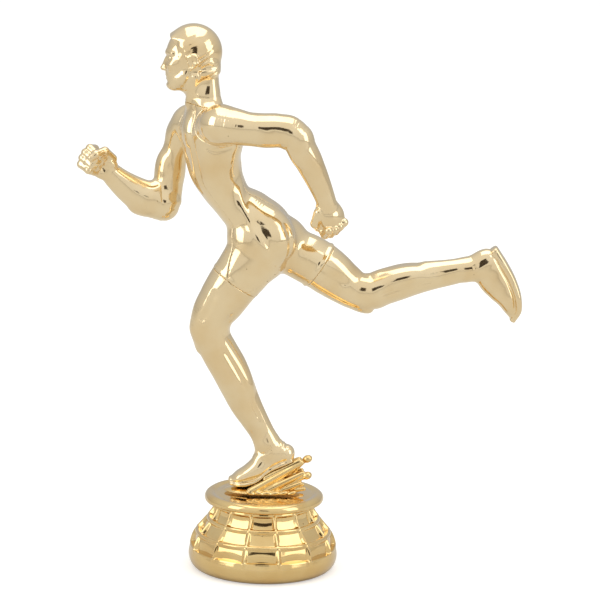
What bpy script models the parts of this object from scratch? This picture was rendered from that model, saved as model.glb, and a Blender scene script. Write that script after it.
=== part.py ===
"""Runner trophy: a gold-plated plastic figure clamped on a round waffle-sided riser.

Blender 4.5, metres, +Z up. The origin is on the riser's axis in the plane that it stands on.
The runner faces -X, so the left arm and the left leg are on the -Y side.
Sizes below are in millimetres and mm() turns them into metres.
"""
import math

import bmesh
import bpy
from mathutils import Matrix, Vector

# ---- driving dimensions, millimetres ----
SEAM_GAP = 0.3                  # clearance between touching pieces
RISER_RADIUS = 19.0             # 38 mm riser
RISER_TOP = 17.2
RISER_WALL = 1.8
NECK_BORE = 6.3                 # bore in the riser that the disc's boss turns in
NECK_WALL = 1.6
WEB_BOTTOM = 11.5               # floor of the neck, which the washer bears on
WEB_TOP = 13.5
POCKET_COLUMNS = 13
POCKET_DEPTH = 0.9
POCKET_RIB = 1.3                # width of the raised ribs between pockets
POCKET_ROWS = [(5.8, 9.1), (10.0, 12.5), (13.4, 16.2)]
RISER_OUTLINE = [               # radius, height: from the top edge down to the standing rim
    (12.3, RISER_TOP), (13.0, 15.0), (14.4, 13.0), (16.1, 11.0), (17.3, 9.5), (18.1, 8.0),
    (18.7, 5.2), (RISER_RADIUS, 3.6), (18.7, 2.2), (18.1, 1.1), (17.2, 0.4), (16.0, 0.0),
]

DISC_RADIUS = 15.2
DISC_BOTTOM = RISER_TOP + SEAM_GAP
DISC_TOP = 19.9
STUD_RADIUS = 2.0               # M4 stud moulded into the disc's boss
STUD_TOP = 18.3
STUD_CLEARANCE = 0.3
WASHER_RADIUS = 6.0
WASHER_THICKNESS = 1.0
NUT_ACROSS_FLATS = 7.0
NUT_HEIGHT = 3.2
FOOT_PEG = (-4.8, 0.0)
FOOT_PEG_RADIUS = 1.0

SHELL_WALL = 1.9                # wall of the two hollow torso shells
PARTING_POINT = (-7.8, -5.0, 95.0)
PARTING_NORMAL = (0.272, -1.0, 0.1705)      # the parting plane of the torso shells

# Stations along the figure: x, y, z of the centre, half width in the running plane,
# half width across it, and the turn of the section about the limb in degrees.
TORSO = [
    (-17.4, 0.0, 121.5, 3.6, 4.2, -22), (-17.0, 0.0, 117.5, 4.6, 8.0, -22),
    (-16.4, 0.0, 114.0, 6.2, 11.0, -22), (-15.5, 0.0, 110.5, 6.6, 11.5, -22),
    (-14.9, 0.0, 106.5, 6.4, 10.6, -20), (-13.9, 0.0, 102.5, 6.4, 9.2, -14),
    (-11.9, 0.0, 98.5, 5.7, 8.0, -6), (-9.3, 0.0, 95.0, 5.2, 7.6, 0),
    (-5.5, 0.0, 91.6, 6.4, 8.2, 8), (-2.6, 0.0, 87.8, 7.8, 8.8, 14),
    (-1.0, 0.0, 83.5, 7.4, 8.2, 14), (-0.4, 0.0, 80.0, 4.4, 5.2, 14),
]
LEFT_THIGH = [
    (-1.8, -3.4, 90.5, 5.4, 3.8, 0), (-2.6, -3.6, 86.5, 7.6, 5.4, 0),
    (-4.1, -3.8, 81.9, 7.1, 5.6, 0), (-6.4, -3.8, 78.2, 6.6, 5.6, 0),
    (-8.7, -3.6, 75.0, 6.2, 5.4, 0), (-11.7, -3.2, 70.2, 5.7, 5.0, 0),
    (-13.8, -2.8, 66.6, 5.1, 4.6, 0), (-14.6, -2.5, 63.2, 4.8, 4.4, 0),
    (-14.2, -2.2, 60.6, 4.3, 4.1, 0), (-13.3, -2.0, 58.6, 3.5, 3.4, 0),
]
LEFT_SHANK = [
    (-14.9, -2.4, 64.6, 3.6, 3.4, 0), (-14.6, -2.3, 62.2, 4.5, 4.2, 0),
    (-13.6, -2.2, 59.6, 4.5, 4.2, 0), (-12.0, -1.8, 56.5, 4.6, 4.2, 0),
    (-9.6, -1.4, 52.3, 4.6, 4.3, 0), (-7.4, -1.0, 47.6, 4.3, 4.0, 0),
    (-5.2, -0.6, 42.7, 3.8, 3.4, 0), (-3.0, -0.3, 38.7, 3.1, 2.8, 0),
    (-1.4, 0.0, 35.6, 2.6, 2.4, 0), (0.4, 0.0, 32.6, 2.6, 2.3, 0),
    (1.8, 0.0, 30.0, 2.6, 2.2, 0),
]
LEFT_SHOE = [
    (-8.2, 0.0, 22.4, 0.8, 1.6, 0), (-7.0, 0.0, 22.8, 1.5, 2.7, 0),
    (-4.2, 0.0, 23.7, 2.3, 3.3, 0), (-1.2, 0.0, 24.9, 3.0, 3.4, 0),
    (1.6, 0.0, 27.4, 3.5, 3.0, 0), (4.6, 0.0, 29.6, 3.5, 2.8, 0),
    (6.6, 0.0, 30.6, 2.6, 2.5, 0), (7.6, 0.0, 31.0, 1.3, 1.5, 0),
]
RIGHT_THIGH = [
    (-0.6, 3.8, 86.6, 5.0, 4.4, 0), (2.6, 4.0, 84.8, 7.4, 5.8, 0),
    (6.4, 4.1, 82.0, 6.5, 5.8, 0), (9.8, 4.2, 79.9, 6.1, 5.6, 0),
    (12.8, 4.3, 78.2, 6.0, 5.5, 0), (15.6, 4.5, 76.2, 5.7, 5.2, 0),
    (18.9, 4.6, 73.8, 5.0, 4.8, 0), (21.8, 4.7, 72.1, 4.5, 4.4, 0),
    (24.6, 4.8, 71.2, 4.2, 4.2, 0), (27.0, 4.8, 71.0, 3.2, 3.2, 0),
]
RIGHT_SHANK = [
    (23.4, 4.8, 70.8, 3.4, 3.4, 0), (25.6, 4.8, 71.4, 4.2, 4.1, 0),
    (28.4, 4.8, 72.5, 4.4, 4.2, 0), (32.4, 4.9, 74.0, 4.3, 4.2, 0),
    (37.0, 5.0, 75.2, 3.9, 3.8, 0), (41.4, 5.0, 76.0, 3.2, 3.2, 0),
    (45.1, 5.0, 76.7, 2.8, 2.6, 0), (49.0, 5.0, 77.6, 2.6, 2.4, 0),
    (53.0, 5.0, 78.6, 2.6, 2.2, 0),
]
RIGHT_SHOE = [
    (62.2, 5.0, 65.6, 0.9, 1.4, 0), (62.1, 5.0, 67.2, 2.0, 2.6, 0),
    (61.6, 5.0, 70.2, 2.7, 3.2, 0), (60.2, 5.0, 73.2, 3.6, 3.2, 0),
    (58.0, 5.0, 76.4, 4.2, 3.0, 0), (56.4, 5.0, 79.2, 4.1, 2.8, 0),
    (55.6, 5.0, 81.6, 3.4, 2.6, 0), (55.6, 5.0, 83.0, 1.8, 1.6, 0),
]
LEFT_UPPER_ARM = [
    (-14.6, -7.4, 115.0, 4.6, 4.4, 0), (-12.6, -10.4, 115.7, 4.9, 4.8, 0),
    (-9.8, -12.4, 115.8, 4.5, 4.3, 0), (-6.0, -13.2, 115.6, 4.1, 3.8, 0),
    (-2.2, -13.8, 115.6, 4.1, 3.8, 0), (2.0, -14.0, 115.4, 3.9, 3.6, 0),
    (5.4, -14.0, 115.1, 3.5, 3.4, 0), (7.6, -14.0, 114.4, 2.4, 2.4, 0),
]
LEFT_FOREARM = [
    (5.6, -14.0, 116.8, 2.6, 2.6, 0), (6.8, -14.0, 114.6, 3.6, 3.4, 0),
    (8.3, -13.6, 110.8, 3.4, 3.3, 0), (10.1, -13.0, 107.4, 3.2, 3.1, 0),
    (12.1, -12.2, 103.3, 2.9, 2.7, 0), (13.6, -11.5, 99.4, 2.6, 2.4, 0),
    (14.8, -11.0, 96.4, 2.6, 2.3, 0), (15.6, -10.7, 94.2, 2.8, 2.4, 0),
]
RIGHT_UPPER_ARM = [
    (-19.0, 6.6, 114.0, 4.4, 4.2, 0), (-21.6, 9.4, 114.0, 4.6, 4.4, 0),
    (-23.6, 11.0, 111.2, 4.0, 4.2, 0), (-24.6, 11.5, 107.0, 3.3, 3.7, 0),
    (-25.6, 11.5, 103.0, 3.2, 3.7, 0), (-26.1, 11.0, 98.8, 3.5, 3.6, 0),
    (-26.5, 10.5, 94.8, 3.6, 3.5, 0), (-26.6, 10.0, 91.8, 3.2, 3.2, 0),
    (-26.4, 9.8, 90.0, 2.2, 2.2, 0),
]
RIGHT_FOREARM = [
    (-24.6, 10.2, 91.4, 2.4, 2.4, 0), (-26.8, 10.0, 91.8, 3.5, 3.4, 0),
    (-30.0, 9.2, 92.8, 3.8, 3.5, 0), (-32.8, 8.6, 94.0, 3.7, 3.4, 0),
    (-35.6, 8.0, 95.6, 3.4, 3.1, 0), (-38.9, 7.0, 98.2, 2.9, 2.7, 0),
    (-41.6, 6.1, 100.8, 2.6, 2.4, 0), (-43.4, 5.5, 102.6, 2.9, 2.4, 0),
]
NECK = [
    (-17.9, 0.0, 117.2, 3.4, 3.6, 0), (-17.8, 0.0, 120.6, 3.6, 3.6, 0),
    (-17.9, 0.0, 123.4, 3.8, 3.5, 0), (-18.6, 0.0, 127.6, 4.2, 3.6, 0),
]

# Where the pieces of the figure join: a point on each joint and its outward direction.
LEFT_SHOULDER = ((-12.6, -8.6, 115.4), (0.34, -0.94, 0.0))
RIGHT_SHOULDER = ((-19.6, 8.6, 113.4), (-0.36, 0.93, -0.1))
LEFT_HEM = ((-8.6, -3.6, 75.1), (-0.56, 0.0, -0.83))
RIGHT_HEM = ((12.8, 4.3, 78.2), (0.836, 0.04, -0.548))
COLLAR = ((-17.8, 0.0, 119.6), (0.12, 0.0, 1.0))
LIMB_PEG_RADIUS = 2.0
LIMB_PEG_LENGTH = 3.6
TRIM_REACH = 26.0               # size of the block that faces the torso off at a joint

LEFT_FIST = ((15.8, -10.5, 93.2), (3.7, 3.1, 4.4), 25)      # centre, half sizes, tilt in degrees
RIGHT_FIST = ((-45.2, 5.0, 103.8), (3.5, 2.9, 3.8), 45)
SKULL = ((-19.8, 0.0, 132.5), (6.9, 5.7, 7.0))
JAW = ((-22.5, 0.0, 127.8), (4.5, 4.1, 5.3))
NOSE = ((-26.8, 0.0, 129.6), (1.3, 0.9, 1.6))
EAR = ((-20.0, 5.5, 130.8), (1.2, 0.7, 1.7))

RING_SIDES = 14


def mm(*values):
    """Millimetres to metres, as a vector for three values."""
    scaled = [value * 0.001 for value in values]
    return scaled[0] if len(scaled) == 1 else Vector(scaled)


# ---- scene, collections and materials ----
for old in list(bpy.data.objects):
    bpy.data.objects.remove(old, do_unlink=True)

parts = bpy.data.collections.new("runner_trophy")
cutters = bpy.data.collections.new("cutters")
bpy.context.scene.collection.children.link(parts)
bpy.context.scene.collection.children.link(cutters)


def plated(name, colour, roughness):
    material = bpy.data.materials.new(name)
    material.use_nodes = True
    shader = material.node_tree.nodes["Principled BSDF"]
    shader.inputs["Base Color"].default_value = (*colour, 1.0)
    shader.inputs["Metallic"].default_value = 1.0
    shader.inputs["Roughness"].default_value = roughness
    return material


PALE_GOLD = (0.83, 0.67, 0.38)
ZINC = (0.60, 0.60, 0.58)


# ---- small modelling tools ----
def new_object(name, mesh, collection=cutters):
    item = bpy.data.objects.new(name, mesh)
    collection.objects.link(item)
    if collection == cutters:
        item.hide_render = True
        item.display_type = "WIRE"
    return item


def from_bmesh(name, shape):
    bmesh.ops.recalc_face_normals(shape, faces=shape.faces)
    mesh = bpy.data.meshes.new(name)
    shape.to_mesh(mesh)
    shape.free()
    return new_object(name, mesh)


def loft(name, stations, grow=0.0):
    """A closed limb: one elliptical ring per station, square to the path, with flat ends."""
    centres = [mm(*station[:3]) for station in stations]
    shape = bmesh.new()
    rings = []
    for index, (station, centre) in enumerate(zip(stations, centres)):
        before = centres[max(index - 1, 0)]
        after = centres[min(index + 1, len(centres) - 1)]
        along = (after - before).normalized()
        in_plane = along.cross(Vector((0, 1, 0))).normalized()
        across = in_plane.cross(along)
        turn = Matrix.Rotation(math.radians(station[5]), 3, along)
        u = turn @ in_plane * mm(station[3] + grow)
        v = turn @ across * mm(station[4] + grow)
        ring = []
        for step in range(RING_SIDES):
            angle = 2 * math.pi * step / RING_SIDES
            ring.append(shape.verts.new(centre + u * math.cos(angle) + v * math.sin(angle)))
        rings.append(ring)
    for ring, following in zip(rings, rings[1:]):
        for step in range(RING_SIDES):
            ahead = (step + 1) % RING_SIDES
            shape.faces.new((ring[step], ring[ahead], following[ahead], following[step]))
    shape.faces.new(list(reversed(rings[0])))
    shape.faces.new(rings[-1])
    return from_bmesh(name, shape)


def ball(name, centre, half_sizes, tilt=0.0, segments=16, rings=10):
    """An ellipsoid, tilted about the Y axis."""
    shape = bmesh.new()
    placed = (Matrix.Translation(mm(*centre)) @ Matrix.Rotation(math.radians(tilt), 4, "Y")
              @ Matrix.Diagonal((*mm(*half_sizes), 1.0)))
    bmesh.ops.create_uvsphere(shape, u_segments=segments, v_segments=rings, radius=1.0,
                              matrix=placed)
    return from_bmesh(name, shape)


def rod(name, start, end, radius, end_radius=None, segments=16):
    """A round bar or cone between two points, all in millimetres."""
    low, high = mm(*start), mm(*end)
    span = high - low
    placed = Matrix.Translation((low + high) / 2) @ span.to_track_quat("Z", "Y").to_matrix().to_4x4()
    shape = bmesh.new()
    bmesh.ops.create_cone(
        shape, cap_ends=True, segments=segments, radius1=mm(radius),
        radius2=mm(radius if end_radius is None else end_radius), depth=span.length, matrix=placed)
    return from_bmesh(name, shape)


def turned(name, profile, steps, material, closed):
    """A profile of radius and height, in millimetres, swept round the Z axis."""
    mesh = bpy.data.meshes.new(name)
    points = [mm(radius, 0.0, height) for radius, height in profile]
    edges = [(index, index + 1) for index in range(len(points) - 1)]
    if closed:
        edges.append((len(points) - 1, 0))
    mesh.from_pydata(points, edges, [])
    item = new_object(name, mesh, parts)
    screw = item.modifiers.new("Turn", "SCREW")
    screw.steps = steps
    screw.render_steps = steps
    screw.use_merge_vertices = True
    screw.merge_threshold = 0.00001
    bake(item)
    item.data.materials.append(material)
    return item


def bake(item):
    """Replace an object's mesh by what its modifiers make of it."""
    graph = bpy.context.evaluated_depsgraph_get()
    mesh = bpy.data.meshes.new_from_object(item.evaluated_get(graph))
    item.modifiers.clear()
    item.data = mesh
    return item


def combine(item, other, operation, keep=False):
    cut = item.modifiers.new(operation, "BOOLEAN")
    cut.operation = operation
    cut.solver = "EXACT"
    cut.object = other
    bake(item)
    if not keep:
        bpy.data.objects.remove(other, do_unlink=True)
    return item


def join(name, pieces):
    """Union of several closed shapes, kept as a working shape."""
    whole = pieces[0]
    for piece in pieces[1:]:
        combine(whole, piece, "UNION")
    whole.name = name
    return whole


def half_space(name, point, direction, offset=0.0, reach=400.0):
    """A block that fills the side that direction points to, its face offset along it."""
    normal = Vector(direction).normalized()
    size = mm(reach)
    face = mm(*point) + normal * mm(offset)
    shape = bmesh.new()
    placed = (Matrix.Translation(face + normal * size / 2)
              @ normal.to_track_quat("Z", "Y").to_matrix().to_4x4())
    bmesh.ops.create_cube(shape, size=size, matrix=placed)
    return from_bmesh(name, shape)


def tidy(item):
    """Merge the slivers that cutting leaves and dissolve flat edges."""
    shape = bmesh.new()
    shape.from_mesh(item.data)
    bmesh.ops.remove_doubles(shape, verts=shape.verts, dist=0.000004)
    bmesh.ops.triangulate(shape, faces=shape.faces)
    shape.to_mesh(item.data)
    shape.free()
    return item


def finish(item, name, material, parent):
    """Move a working shape to the parts, with its name, material and parent."""
    tidy(item)
    cutters.objects.unlink(item)
    parts.objects.link(item)
    item.hide_render = False
    item.display_type = "TEXTURED"
    item.name = name
    item.data.name = name
    item.data.materials.clear()
    item.data.materials.append(material)
    item.data.shade_smooth()
    item.data.set_sharp_from_angle(angle=math.radians(40))
    item.parent = parent
    return item


def axis_empty(name):
    empty = bpy.data.objects.new(name, None)
    parts.objects.link(empty)
    return empty


def peg_ends(joint, length):
    point, direction = joint
    normal = Vector(direction).normalized()
    inner = Vector(point) - normal * length
    outer = Vector(point) + normal * 1.0
    return inner, outer


def add_peg(limb, joint):
    """A limb's own locating peg, which points into the torso."""
    inner, outer = peg_ends(joint, LIMB_PEG_LENGTH)
    return combine(limb, rod("peg", inner, outer, LIMB_PEG_RADIUS), "UNION")


def cut_socket(torso, joint):
    inner, outer = peg_ends(joint, LIMB_PEG_LENGTH + SEAM_GAP)
    socket = rod("socket", inner, outer, LIMB_PEG_RADIUS + SEAM_GAP)
    return combine(torso, socket, "DIFFERENCE")


def trim_to(item, joint, keep_outer):
    """Cut a working shape at a joint and keep one side, half the seam gap away from it."""
    point, direction = joint
    if keep_outer:
        direction = [-value for value in direction]
    reach = 400.0 if keep_outer else TRIM_REACH
    block = half_space("trim", point, direction, -SEAM_GAP / 2, reach)
    return combine(item, block, "DIFFERENCE")


# ---- riser ----
def outline_radius(height):
    """Radius of the riser's outside at a height."""
    for (r_high, z_high), (r_low, z_low) in zip(RISER_OUTLINE, RISER_OUTLINE[1:]):
        if z_low <= height <= z_high:
            return r_low + (r_high - r_low) * (height - z_low) / (z_high - z_low)
    return RISER_RADIUS


def pocket_cutters():
    """The recessed panels of the waffle, as one mesh of separate tilted blocks."""
    shape = bmesh.new()
    for low, high in POCKET_ROWS:
        r_low, r_high = outline_radius(low), outline_radius(high)
        middle = (low + high) / 2
        radius = (r_low + r_high) / 2
        lean = math.atan2(r_low - r_high, high - low)
        height = math.hypot(r_low - r_high, high - low)
        width = 2 * math.pi * radius / POCKET_COLUMNS - POCKET_RIB
        thickness = 2.4
        for column in range(POCKET_COLUMNS):
            angle = -math.pi / 2 + 2 * math.pi * column / POCKET_COLUMNS
            placed = (Matrix.Rotation(angle, 4, "Z")
                      @ Matrix.Translation(mm(radius, 0.0, middle))
                      @ Matrix.Rotation(-lean, 4, "Y")
                      @ Matrix.Translation(mm(thickness / 2 - POCKET_DEPTH, 0.0, 0.0))
                      @ Matrix.Diagonal((*mm(thickness, width, height), 1.0)))
            bmesh.ops.create_cube(shape, size=1.0, matrix=placed)
    return from_bmesh("waffle_pockets", shape)


def make_riser():
    inner_neck = NECK_BORE + NECK_WALL
    inside = [
        (RISER_RADIUS - 4.6, 0.0), (RISER_RADIUS - RISER_WALL - 0.8, 1.4),
        (RISER_RADIUS - RISER_WALL, 4.5), (16.2, 8.0), (14.2, 11.0), (12.4, 13.2), (10.8, 15.4),
        (inner_neck, 15.4), (inner_neck, WEB_BOTTOM), (STUD_RADIUS + STUD_CLEARANCE, WEB_BOTTOM),
        (STUD_RADIUS + STUD_CLEARANCE, WEB_TOP), (NECK_BORE, WEB_TOP), (NECK_BORE, RISER_TOP),
    ]
    riser = turned("pedestal_skirt", RISER_OUTLINE + inside, POCKET_COLUMNS * 4,
                   plated("riser_plated_plastic", PALE_GOLD, 0.16), closed=True)
    combine(riser, pocket_cutters(), "DIFFERENCE", keep=True)
    for quarter in range(4):
        angle = math.radians(45 + 90 * quarter)
        shape = bmesh.new()
        placed = (Matrix.Rotation(angle, 4, "Z") @ Matrix.Translation(mm(10.0, 0.0, 13.7))
                  @ Matrix.Diagonal((*mm(5.0, 1.0, 4.0), 1.0)))
        bmesh.ops.create_cube(shape, size=1.0, matrix=placed)
        combine(riser, from_bmesh("stiffening_rib", shape), "UNION")
    return tidy(riser)


def make_disc():
    bore = STUD_RADIUS + STUD_CLEARANCE
    boss = NECK_BORE - SEAM_GAP
    profile = [
        (0.0, DISC_TOP), (12.4, DISC_TOP), (13.9, DISC_TOP - 0.2), (14.8, DISC_TOP - 0.6),
        (DISC_RADIUS, DISC_TOP - 1.2), (14.9, DISC_TOP - 1.9), (14.2, DISC_BOTTOM),
        (boss, DISC_BOTTOM), (boss, WEB_TOP + SEAM_GAP), (bore, WEB_TOP + SEAM_GAP),
        (bore, STUD_TOP + SEAM_GAP), (0.0, STUD_TOP + SEAM_GAP),
    ]
    disc = turned("plinth_disc", profile, 48, plated("disc_plated_plastic", PALE_GOLD, 0.12),
                  closed=False)
    hole = rod("foot_peg_hole", (*FOOT_PEG, DISC_TOP - 1.3), (*FOOT_PEG, DISC_TOP + 2),
               FOOT_PEG_RADIUS + SEAM_GAP)
    return tidy(combine(disc, hole, "DIFFERENCE"))


def make_tuft():
    """The rough ground under the raised heel: a low mound, fanned blades and two budded stems."""
    floor = DISC_TOP + SEAM_GAP
    pieces = [ball("mound", (-0.5, 0.0, floor - 0.4), (10.2, 5.0, 1.8), segments=20)]
    pieces.append(ball("heel_bank", (3.6, 0.0, 22.6), (5.6, 2.6, 3.4), tilt=-34))
    for side in range(-2, 3):
        start = (-1.5 + 0.5 * abs(side), side * 1.3, floor + 0.4)
        end = (9.6 - 0.9 * abs(side), side * 1.9, 25.6 - 0.8 * abs(side))
        pieces.append(rod("blade", start, end, 1.1, 0.5, segments=8))
    for low, high, side in ((21.6, 28.4, 0.4), (20.8, 24.4, -1.8)):
        pieces.append(rod("stem", (4.0, side, low), (11.2, side, high), 0.8, 0.5, segments=8))
        pieces.append(ball("bud", (11.2, side, high), (1.2, 1.0, 1.0), segments=10, rings=8))
    tuft = join("tuft", pieces)
    combine(tuft, half_space("below", (0, 0, floor), (0, 0, -1)), "DIFFERENCE")
    combine(tuft, loft("shoe_room", LEFT_SHOE, grow=SEAM_GAP), "DIFFERENCE")
    combine(tuft, rod("peg_room", (*FOOT_PEG, 19), (*FOOT_PEG, 24), FOOT_PEG_RADIUS + SEAM_GAP),
            "DIFFERENCE")
    return tuft


# ---- the runner ----
def make_torso_shells(material, parent):
    """Two hollow half shells with the hips and shorts, parted on one slanting plane."""
    torso = join("torso", [
        loft("trunk", TORSO),
        ball("left_buttock", (1.8, -3.2, 86.4), (6.2, 5.4, 6.8), tilt=-20),
        loft("left_hip", LEFT_THIGH[:7]),
        loft("right_hip", RIGHT_THIGH[:7]),
        loft("left_deltoid", LEFT_UPPER_ARM[:4]),
        loft("right_deltoid", RIGHT_UPPER_ARM[:4]),
    ])
    for joint in (COLLAR, LEFT_SHOULDER, RIGHT_SHOULDER, LEFT_HEM, RIGHT_HEM):
        trim_to(torso, joint, keep_outer=False)
    combine(torso, loft("hollow", TORSO[2:11], grow=-SHELL_WALL - 0.6), "DIFFERENCE")
    for joint in (LEFT_SHOULDER, RIGHT_SHOULDER, LEFT_HEM, RIGHT_HEM, COLLAR):
        cut_socket(torso, joint)
    shells = []
    for name, sign in (("torso_left_shell", 1.0), ("torso_right_shell", -1.0)):
        shell = new_object(name, torso.data.copy())
        towards = [-sign * value for value in PARTING_NORMAL]
        block = half_space("parting", PARTING_POINT, towards, -SEAM_GAP / 2)
        shells.append(finish(combine(shell, block, "DIFFERENCE"), name, material, parent))
    bpy.data.objects.remove(torso, do_unlink=True)
    return shells


def make_head():
    centre, half_sizes = EAR
    head = join("head", [
        ball("skull", *SKULL, segments=20, rings=14), ball("jaw", *JAW, tilt=18),
        ball("nose", *NOSE, segments=10, rings=8), loft("neck", NECK),
        ball("ear", centre, half_sizes, segments=10, rings=8),
        ball("ear", (centre[0], -centre[1], centre[2]), half_sizes, segments=10, rings=8),
    ])
    trim_to(head, COLLAR, keep_outer=True)
    return add_peg(head, COLLAR)


def make_arm(upper, fore, fist, joint):
    centre, half_sizes, tilt = fist
    arm = join("arm", [loft("upper", upper), loft("fore", fore),
                       ball("fist", centre, half_sizes, tilt)])
    trim_to(arm, joint, keep_outer=True)
    return add_peg(arm, joint)


def make_leg(thigh, shank, shoe, joint):
    leg = join("leg", [loft("thigh", thigh), loft("shank", shank), loft("shoe", shoe)])
    trim_to(leg, joint, keep_outer=True)
    return add_peg(leg, joint)


# ---- fasteners ----
def make_washer():
    top = WEB_BOTTOM - SEAM_GAP
    low = top - WASHER_THICKNESS
    inner = STUD_RADIUS + STUD_CLEARANCE
    profile = [(WASHER_RADIUS, top), (WASHER_RADIUS, low), (inner, low), (inner, top)]
    return turned("clamp_washer", profile, 32, plated("washer_zinc", ZINC, 0.3), closed=True)


def make_nut():
    top = WEB_BOTTOM - 2 * SEAM_GAP - WASHER_THICKNESS
    low = top - NUT_HEIGHT
    across_corners = NUT_ACROSS_FLATS / math.cos(math.pi / 6)
    nut = rod("nut", (0, 0, low), (0, 0, top), across_corners / 2, segments=6)
    bore = rod("nut_bore", (0, 0, low - 1), (0, 0, top + 1), STUD_RADIUS + STUD_CLEARANCE,
               segments=24)
    return combine(nut, bore, "DIFFERENCE")


def build():
    gold = plated("figure_plated_plastic", PALE_GOLD, 0.1)
    zinc = plated("fastener_zinc", ZINC, 0.3)
    figure = axis_empty("figure_axis")
    nut_axis = axis_empty("nut_axis")
    nut_axis.parent = figure

    make_riser()
    make_disc().parent = figure
    finish(make_tuft(), "ground_tuft", gold, figure)
    make_torso_shells(gold, figure)
    finish(make_head(), "head", gold, figure)
    finish(make_arm(LEFT_UPPER_ARM, LEFT_FOREARM, LEFT_FIST, LEFT_SHOULDER),
           "left_arm", gold, figure)
    finish(make_arm(RIGHT_UPPER_ARM, RIGHT_FOREARM, RIGHT_FIST, RIGHT_SHOULDER),
           "right_arm", gold, figure)
    left_leg = make_leg(LEFT_THIGH, LEFT_SHANK, LEFT_SHOE, LEFT_HEM)
    foot_peg = rod("foot_peg", (*FOOT_PEG, DISC_TOP - 1.0), (*FOOT_PEG, 23.5), FOOT_PEG_RADIUS)
    combine(left_leg, foot_peg, "UNION")
    finish(left_leg, "left_leg", gold, figure)
    finish(make_leg(RIGHT_THIGH, RIGHT_SHANK, RIGHT_SHOE, RIGHT_HEM), "right_leg", gold, figure)
    finish(rod("stud", (0, 0, 0), (0, 0, STUD_TOP), STUD_RADIUS, segments=24),
           "figure_stud", zinc, figure)
    make_washer()
    finish(make_nut(), "clamp_nut", zinc, nut_axis)


build()
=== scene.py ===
import math

import bpy
import numpy as np
from mathutils import Matrix, Vector


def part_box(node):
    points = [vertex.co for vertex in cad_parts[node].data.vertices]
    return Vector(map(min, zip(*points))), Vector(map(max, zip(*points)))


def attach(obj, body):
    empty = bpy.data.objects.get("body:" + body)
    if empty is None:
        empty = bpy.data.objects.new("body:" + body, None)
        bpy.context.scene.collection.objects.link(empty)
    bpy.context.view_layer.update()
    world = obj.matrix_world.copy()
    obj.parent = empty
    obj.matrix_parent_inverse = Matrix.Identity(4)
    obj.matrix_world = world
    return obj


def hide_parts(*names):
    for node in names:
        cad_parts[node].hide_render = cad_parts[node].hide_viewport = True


# A runner of vacuum-metallised plastic on a round riser. Lengths are in millimetres until a mesh is written.
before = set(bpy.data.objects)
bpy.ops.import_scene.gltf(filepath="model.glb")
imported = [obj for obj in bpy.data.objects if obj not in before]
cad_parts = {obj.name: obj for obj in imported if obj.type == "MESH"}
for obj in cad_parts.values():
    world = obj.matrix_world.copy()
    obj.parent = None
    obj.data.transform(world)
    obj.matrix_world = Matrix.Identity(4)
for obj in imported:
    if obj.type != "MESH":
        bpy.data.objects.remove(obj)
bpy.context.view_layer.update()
print("frame loaded")


def nodeBox(name):
    low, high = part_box(name)
    return np.array(low) * 1000, np.array(high) * 1000


# curves and shapes in space: each shape is a signed distance, negative inside

def unit(vector):
    vector = np.asarray(vector, float)
    return vector / np.linalg.norm(vector)


def ease(t):
    # 3t^2 - 2t^3, held at 0 and 1 outside
    t = np.clip(t, 0, 1)
    return t * t * (3 - 2 * t)


def curveThrough(knots, spacing):
    # a cubic through every knot; the slope at a knot is the mean of its two chords,
    # each weighted by the other's length
    knots = np.asarray(knots, float)
    chord = np.linalg.norm(np.diff(knots[:, :3], axis=0), axis=1)
    slope = np.diff(knots, axis=0) / chord[:, None]
    inner = slope[:-1] * chord[1:, None] + slope[1:] * chord[:-1, None]
    inner /= (chord[1:] + chord[:-1])[:, None]
    tangent = np.vstack([slope[:1], inner, slope[-1:]])
    start = np.concatenate([[0], np.cumsum(chord)])
    along = np.linspace(0, start[-1], max(int(start[-1] / spacing), 8))
    span = np.clip(np.searchsorted(start, along, side="right") - 1, 0, len(chord) - 1)
    length = chord[span][:, None]
    t = ((along - start[span]) / chord[span])[:, None]
    return (knots[span] * (1 + 2 * t) * (1 - t) ** 2 + tangent[span] * length * t * (1 - t) ** 2
            + knots[span + 1] * t * t * (3 - 2 * t) + tangent[span + 1] * length * t * t * (t - 1))


margin = 3.2     # a shape's box stands this far off it, so that its blends fit inside


def shape(distance, low, high, blend):
    low, high = np.asarray(low) - margin, np.asarray(high) + margin
    return {"distance": distance, "low": low, "high": high, "blend": blend}


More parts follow.
